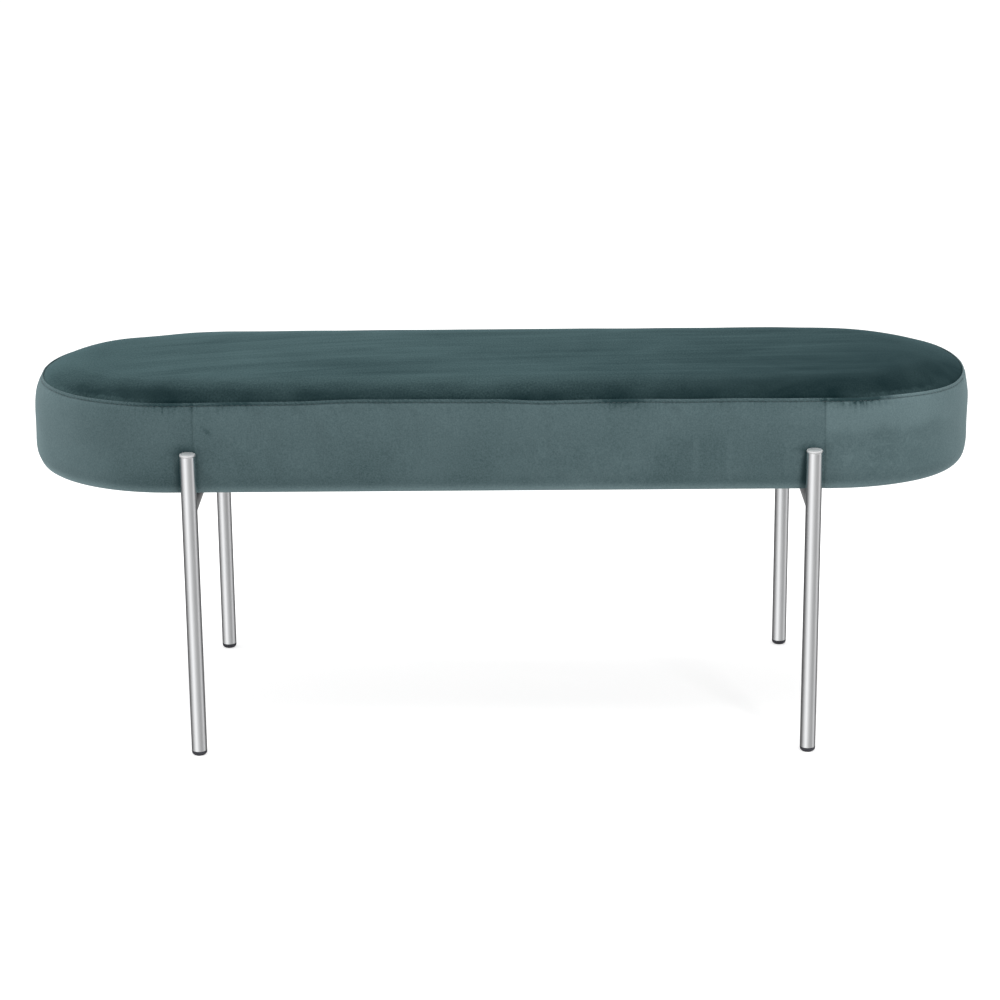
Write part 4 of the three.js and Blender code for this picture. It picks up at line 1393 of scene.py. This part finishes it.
def makeDustCover():
    sizes, half = dustSizes, seat["straightHalf"]
    low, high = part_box("dust_cover")
    edge = outlinePoints(evenStations(sizes["edgeSteps"]), seat["endRadius"] - high.y, 0)[0, :, :2]
    holes = [circleOutline(bolt, sizes["hole"], sizes["holeSteps"]) for bolt in bolts.values()]
    points, edges = [], []
    for loop in (edge, *holes):
        first, count = len(points), len(loop)
        points += [Vector(p) for p in loop]
        edges += [(first + i, first + (i + 1) % count) for i in range(count)]
    reach, clear = high.y - sizes["edgeClear"], sizes["hole"] + sizes["holeClear"]
    for x in np.arange(low.x, high.x, sizes["gridStep"]):
        for y in np.arange(low.y, high.y, sizes["gridStep"]):
            fromAxis = math.hypot(x - max(-half, min(half, x)), y)
            if fromAxis < reach and boltClear(x, y) > clear:
                points.append(Vector((x, y)))
    flat, _, triangles, *_ = delaunay_2d_cdt(points, edges, [], 1, 1e-7)
    middles = [sum((flat[i] for i in triangle), Vector((0, 0))) / 3 for triangle in triangles]
    kept = [triangle for triangle, middle in zip(triangles, middles)
            if boltClear(middle.x, middle.y) > 0.98 * sizes["hole"]]
    x, y = np.array(flat).T
    fromEdge = high.y - np.hypot(x - np.clip(x, -half, half), y)
    sag = sizes["sag"] * (0.5 + 0.5 * softNoise(91, sizes["sagWave"], x, y))
    sag = sag * smoothStep(fromEdge, 4 * mm, 30 * mm)
    cloth = newMesh("dust_cloth", together(x, y, low.z + sizes["under"] - sag), kept, dustCloth)
    solid = cloth.modifiers.new("thickness", "SOLIDIFY")
    solid.thickness = sizes["thickness"]
    solid.offset = 1
    tidyMesh(applyModifiers(cloth), sharpDegrees=60)
    settle(cloth, "dust_cloth", "dust_cover")
    return seat["endRadius"] - high.y, low.z


dustInset, dustZ = makeDustCover()


# Sewing and staples, laid along paths by Geometry Nodes

def pathTree(name, defaults):
    # a tree that repeats a small piece along the input's edges, lying to the path and facing its normals
    tree = bpy.data.node_groups.new(name, "GeometryNodeTree")
    kinds = {"Geometry": "Geometry", "Piece": "Object", "Seed": "Int", "Material": "Material"}
    for label, value in {"Geometry": None, "Piece": None, **defaults}.items():
        kind = "NodeSocket" + kinds.get(label, "Float")
        socket = tree.interface.new_socket(label, in_out="INPUT", socket_type=kind)
        if value is not None:
            socket.default_value = value
    tree.interface.new_socket("Geometry", in_out="OUTPUT", socket_type="NodeSocketGeometry")
    given = tree.nodes.new("NodeGroupInput").outputs
    result = tree.nodes.new("NodeGroupOutput").inputs

    def step(kind, inputs=None, output=0, **settings):
        return put(tree, kind, inputs, **settings).outputs[output]

    curve = step("GeometryNodeMeshToCurve", {"Mesh": given["Geometry"]})
    spaced = step("GeometryNodeResampleCurve", {"Curve": curve, "Length": given["Pitch"]}, mode="LENGTH")
    facing = step("GeometryNodeInputNamedAttribute", {"Name": "facing"}, data_type="FLOAT_VECTOR")
    tangent = step("GeometryNodeInputTangent")
    spread = step("ShaderNodeCombineXYZ", {0: given["Wander"], 1: given["Wander"], 2: given["Wander"]})
    less = step("ShaderNodeVectorMath", {0: spread, "Scale": -1.0}, operation="SCALE")
    wander = step("FunctionNodeRandomValue", {"Min": less, "Max": spread, "Seed": given["Seed"]},
                  data_type="FLOAT_VECTOR")
    turned = step("ShaderNodeVectorMath", {0: tangent, 1: wander}, operation="ADD")
    along = step("FunctionNodeAlignRotationToVector", {"Vector": turned}, axis="X")
    upright = step("FunctionNodeAlignRotationToVector", {"Rotation": along, "Vector": facing}, axis="Z",
                   pivot_axis="X")
    piece = step("GeometryNodeObjectInfo", {"Object": given["Piece"]}, output="Geometry")
    scale = step("ShaderNodeCombineXYZ", {0: given["Length"], 1: given["Width"], 2: given["Width"]})
    placed = step("GeometryNodeInstanceOnPoints", {"Points": spaced, "Instance": piece, "Rotation": upright,
                                                   "Scale": scale})
    real = step("GeometryNodeRealizeInstances", {"Geometry": placed})
    painted = step("GeometryNodeSetMaterial", {"Geometry": real, "Material": given["Material"]})
    wire(result, {"Geometry": painted})
    return tree


def layAlong(name, paths, facings, unit, values, slotName):
    # paths are point arrays, each with the direction its pieces face
    points, edges, facing = [], [], []
    for path, direction in zip(paths, facings):
        first = len(points)
        points += [tuple(p) for p in path]
        facing += [tuple(d) for d in np.broadcast_to(direction, np.shape(path))]
        edges += [(first + i, first + i + 1) for i in range(len(path) - 1)]
    mesh = bpy.data.meshes.new(name)
    mesh.from_pydata(points, edges, [])
    layer = mesh.attributes.new("facing", "FLOAT_VECTOR", "POINT")
    layer.data.foreach_set("vector", np.array(facing, np.float32).ravel())
    obj = link(name, mesh)
    modifier = obj.modifiers.new("lay", "NODES")
    modifier.node_group = layTree
    sockets = {item.name: item.identifier for item in layTree.interface.items_tree if item.in_out == "INPUT"}
    for label, value in {"Piece": unit, **values}.items():
        modifier[sockets[label]] = value
    applyModifiers(obj)
    obj.data.name = name
    setSmooth(obj.data)
    bpy.data.objects.remove(unit)
    settle(obj, slotName)


def stitchUnit():
    # one stitch, a unit long and high: a thread that rises from the cloth, runs and dives again
    share = np.linspace(0, 1, 9)[:, None]
    height = 0.5 * np.sin(math.pi * share) ** 0.5 - 0.55
    turn = evenTurns(6)
    rings = together(share - 0.5, 0.5 * np.cos(turn), height + 0.5 * np.sin(turn))
    return tidyMesh(gridMesh("stitchUnit", rings, thread, filled=True), sharpDegrees=70)


def stapleUnit():
    # crown of a staple, a unit long: flat wire bent down at both ends
    corner, depth = 0.12, 0.35
    half = [(0.5 - corner, -0.5), (0.5, -0.2), (0.5, 0.9)]
    rings = []
    for x, z in [*((-x, z) for x, z in half[::-1]), *half]:
        inner = math.copysign(0.42 if abs(x) > 0.45 else 0.5 - corner, x)
        rings.append([(x, -0.5, z), (x, 0.5, z), (inner, 0.5, z + depth), (inner, -0.5, z + depth)])
    return tidyMesh(gridMesh("stapleUnit", rings, zincSteel, filled=True, smooth=False), sharpDegrees=30)


def surfacePath(panel, below, clear):
    # points of a band panel at a distance below the seam, clear of its ends, and the directions they face
    start, end = panels[panel]
    mesh = bands[panel].data
    uv = np.zeros(2 * len(mesh.loops))
    mesh.uv_layers["UVMap"].data.foreach_get("uv", uv)
    perVertex = np.zeros((len(mesh.vertices), 2))
    perVertex[loopVertices(bands[panel])] = uv.reshape(-1, 2)
    u, rows = perVertex.T
    levels = np.unique(np.round(rows, 6))
    level = levels[np.argmin(np.abs(levels + below))]
    chosen = np.where((np.abs(rows - level) < 1e-6) & (u > start + clear) & (u < end - clear))[0]
    chosen = chosen[np.argsort(u[chosen])]
    return coordsOf(bands[panel])[chosen], np.array([vertex.normal for vertex in mesh.vertices])[chosen]


stitchSizes = inMetres({"lift": 0.1, "clear": 2})
sewing = {"Pitch": 6.6 * mm, "Length": 4.9 * mm, "Width": 0.75 * mm, "Wander": 0.05, "Seed": 5,
          "Material": thread}
stapleSizes = inMetres({"inset": 7, "under": 0.25})
stapling = {"Pitch": 42 * mm, "Length": 10 * mm, "Width": 1.1 * mm, "Wander": 0.12, "Seed": 11,
            "Material": zincSteel}


def makeStitches():
    below = coverSizes["foldWidth"] + coverSizes["stitchBelow"]
    found = [surfacePath(panel, below, stitchSizes["clear"]) for panel in panels]
    paths = [path + facing * stitchSizes["lift"] for path, facing in found]
    layAlong("top_stitching", paths, [facing for _, facing in found], stitchUnit(), sewing, "velvet")


def makeStaples():
    u = np.linspace(0, roundLength, 400)
    path = outlinePoints(u, dustInset + stapleSizes["inset"], dustZ - stapleSizes["under"])
    layAlong("dust_cover_staples", [path], [(0, 0, 1)], stapleUnit(), stapling, "zinc_steel")


layTree = pathTree("layAlongPath", {"Pitch": 10 * mm, "Length": 1.0, "Width": 1.0, "Wander": 0.0, "Seed": 0,
                                    "Material": None})
makeStitches()
makeStaples()
print("sewing and staples laid")


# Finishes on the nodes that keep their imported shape
nodeFinishes = {
    "base_board": plywood, "deck_board": hardboard, "left_end_rim": plywood, "right_end_rim": plywood,
    "front_rail": softwood, "rear_rail": softwood,
    **{f"cross_rib_{i}": softwood for i in range(1, 5)},
    **{f"tee_nut_{i}": zincSteel for i in range(1, 9)},
}
for name, material in nodeFinishes.items():
    nodes[name].data.materials.clear()
    nodes[name].data.materials.append(material)


# Floor, lights and camera

studio = {"floorSize": 40.0, "floorGlow": 0.52, "floor": 0.86, "fill": 0.62, "ceiling": 1.1}
# What metal reflects: the studio's walls, as brightness by the direction round the bench.
# Degrees run from the front (0) by the right (90) and the rear (180) to the left (270).
studioWalls = [
    (0, 0.70), (22, 0.48), (45, 0.38), (62, 0.44), (85, 0.78), (106, 0.36), (135, 0.05), (160, 0.20),
    (180, 0.30), (200, 0.22), (225, 0.05), (255, 0.20), (278, 0.48), (302, 0.88), (324, 1.20), (342, 1.02),
    (360, 0.70),
]
# Lamps, all turned to the bench: place, width, height, power
softboxes = {
    "overheadSoftbox": ((0, -0.3, 2.6), 3.2, 1.8, 34),
    "rightFrontSoftbox": ((1.5, -2.8, 1.4), 0.5, 1.2, 20),
    "leftFrontSoftbox": ((-1.5, -3.0, 1.3), 1.4, 1.8, 5),
    "rightSoftbox": ((2.8, -0.3, 0.9), 0.8, 1.6, 8),
    "leftSoftbox": ((-2.8, 0.4, 0.9), 0.8, 1.6, 22),
}
lampTarget = (0, 0, 0.35)
photoView = {
    "place": (0.01836, -3.4501, 1.31585),
    "pitch": 0.2955,
    "roll": -0.00866,
    "yaw": -0.00609,
    "focalPixels": 2833.2,
    "imagePixels": 1000,
    "sensor": 36,
}


def grey(level):
    return (level, level, level, 1)


def seenRays(tree):
    # the kinds of ray, and whether one comes from the camera or through glass
    rays = put(tree, "ShaderNodeLightPath").outputs
    return rays, calc("MAXIMUM", rays["Is Camera Ray"], rays["Is Transmission Ray"])


def floorMaterial():
    # pale floor: what the camera sees is lifted to white, and the shadow stays
    material = bpy.data.materials.new("paleFloor")
    material.use_nodes = True
    tree = material.node_tree
    tree.nodes.clear()
    _, seen = seenRays(tree)
    diffuse = put(tree, "ShaderNodeBsdfDiffuse", {"Color": grey(studio["floor"])})
    strength = calc("MULTIPLY", seen, studio["floorGlow"])
    glow = put(tree, "ShaderNodeEmission", {"Color": grey(1), "Strength": strength})
    both = put(tree, "ShaderNodeAddShader", {0: diffuse.outputs[0], 1: glow.outputs[0]})
    put(tree, "ShaderNodeOutputMaterial", {"Surface": both.outputs[0]})
    return material


def makeFloor():
    # metal doesn't see the floor: it reflects the walls all the way down, as a light floor's gloss would
    size = studio["floorSize"] / 2
    corners = [(-size, -size, 0), (size, -size, 0), (size, size, 0), (-size, size, 0)]
    floor = newMesh("floor", corners, [(0, 1, 2, 3)], floorMaterial(), smooth=False)
    floor.visible_glossy = False


def makeWorld():
    # white to the camera, the studio's walls to metal, a soft even fill to all else
    world = bpy.data.worlds.new("studio")
    scene.world = world
    world.cycles.sampling_method = "NONE"
    world.use_nodes = True
    tree = world.node_tree
    tree.nodes.clear()
    generated = put(tree, "ShaderNodeTexCoord").outputs["Generated"]
    direction = put(tree, "ShaderNodeSeparateXYZ", {0: generated}).outputs
    azimuth = calc("ARCTAN2", direction["X"], calc("MULTIPLY", direction["Y"], -1.0))
    ramp = put(tree, "ShaderNodeValToRGB", {"Fac": calc("FRACT", calc("DIVIDE", azimuth, fullTurn))})
    ramp.color_ramp.interpolation = "EASE"
    while len(ramp.color_ramp.elements) < len(studioWalls):
        ramp.color_ramp.elements.new(0.5)
    for element, (degrees, level) in zip(ramp.color_ramp.elements, studioWalls):
        element.position = degrees / 360
        element.color = grey(level)
    # straight down the floor lies in the bench's own shadow, and up there the walls end under a light ceiling
    below = mapRange(direction["Z"], -0.9, -0.5, 0.25, 1.0, kind="SMOOTHSTEP")
    walls = put(tree, "ShaderNodeVectorMath", {0: ramp.outputs["Color"], "Scale": below}, operation="SCALE")
    above = mapRange(direction["Z"], 0.08, 0.3, kind="SMOOTHSTEP")
    room = blend(above, walls.outputs[0], grey(studio["ceiling"]))
    rays, seen = seenRays(tree)
    colour = blend(seen, blend(rays["Is Glossy Ray"], grey(studio["fill"]), room), grey(1))
    light = put(tree, "ShaderNodeBackground", {"Color": colour, "Strength": 1.0})
    put(tree, "ShaderNodeOutputWorld", {"Surface": light.outputs[0]})


def makeSoftbox(name, place, width, height, power):
    lamp = bpy.data.lights.new(name, "AREA")
    lamp.shape = "RECTANGLE"
    lamp.size, lamp.size_y = width, height
    lamp.energy = power
    obj = link(name, lamp)
    obj.location = place
    obj.rotation_euler = (Vector(lampTarget) - Vector(place)).to_track_quat("-Z", "Y").to_euler()
    obj.visible_glossy = False


def makeCamera():
    view = photoView
    yaw, pitch, roll = view["yaw"], view["pitch"], view["roll"]
    forward = Vector((math.sin(yaw) * math.cos(pitch), math.cos(yaw) * math.cos(pitch), -math.sin(pitch)))
    level = Vector((math.cos(yaw), -math.sin(yaw), 0))
    upright = level.cross(forward)
    right = math.cos(roll) * level + math.sin(roll) * upright
    up = -math.sin(roll) * level + math.cos(roll) * upright
    data = bpy.data.cameras.new("photoCamera")
    data.sensor_width = view["sensor"]
    data.lens = view["sensor"] * view["focalPixels"] / view["imagePixels"]
    camera = link("photoCamera", data)
    columns = [(*axis, 0) for axis in (right, up, -forward)] + [(*view["place"], 1)]
    camera.matrix_world = Matrix(columns).transposed()
    scene.camera = camera


makeFloor()
makeWorld()
for name, values in softboxes.items():
    makeSoftbox(name, *values)
makeCamera()
scene.view_settings.view_transform = "Standard"
print("studio set")
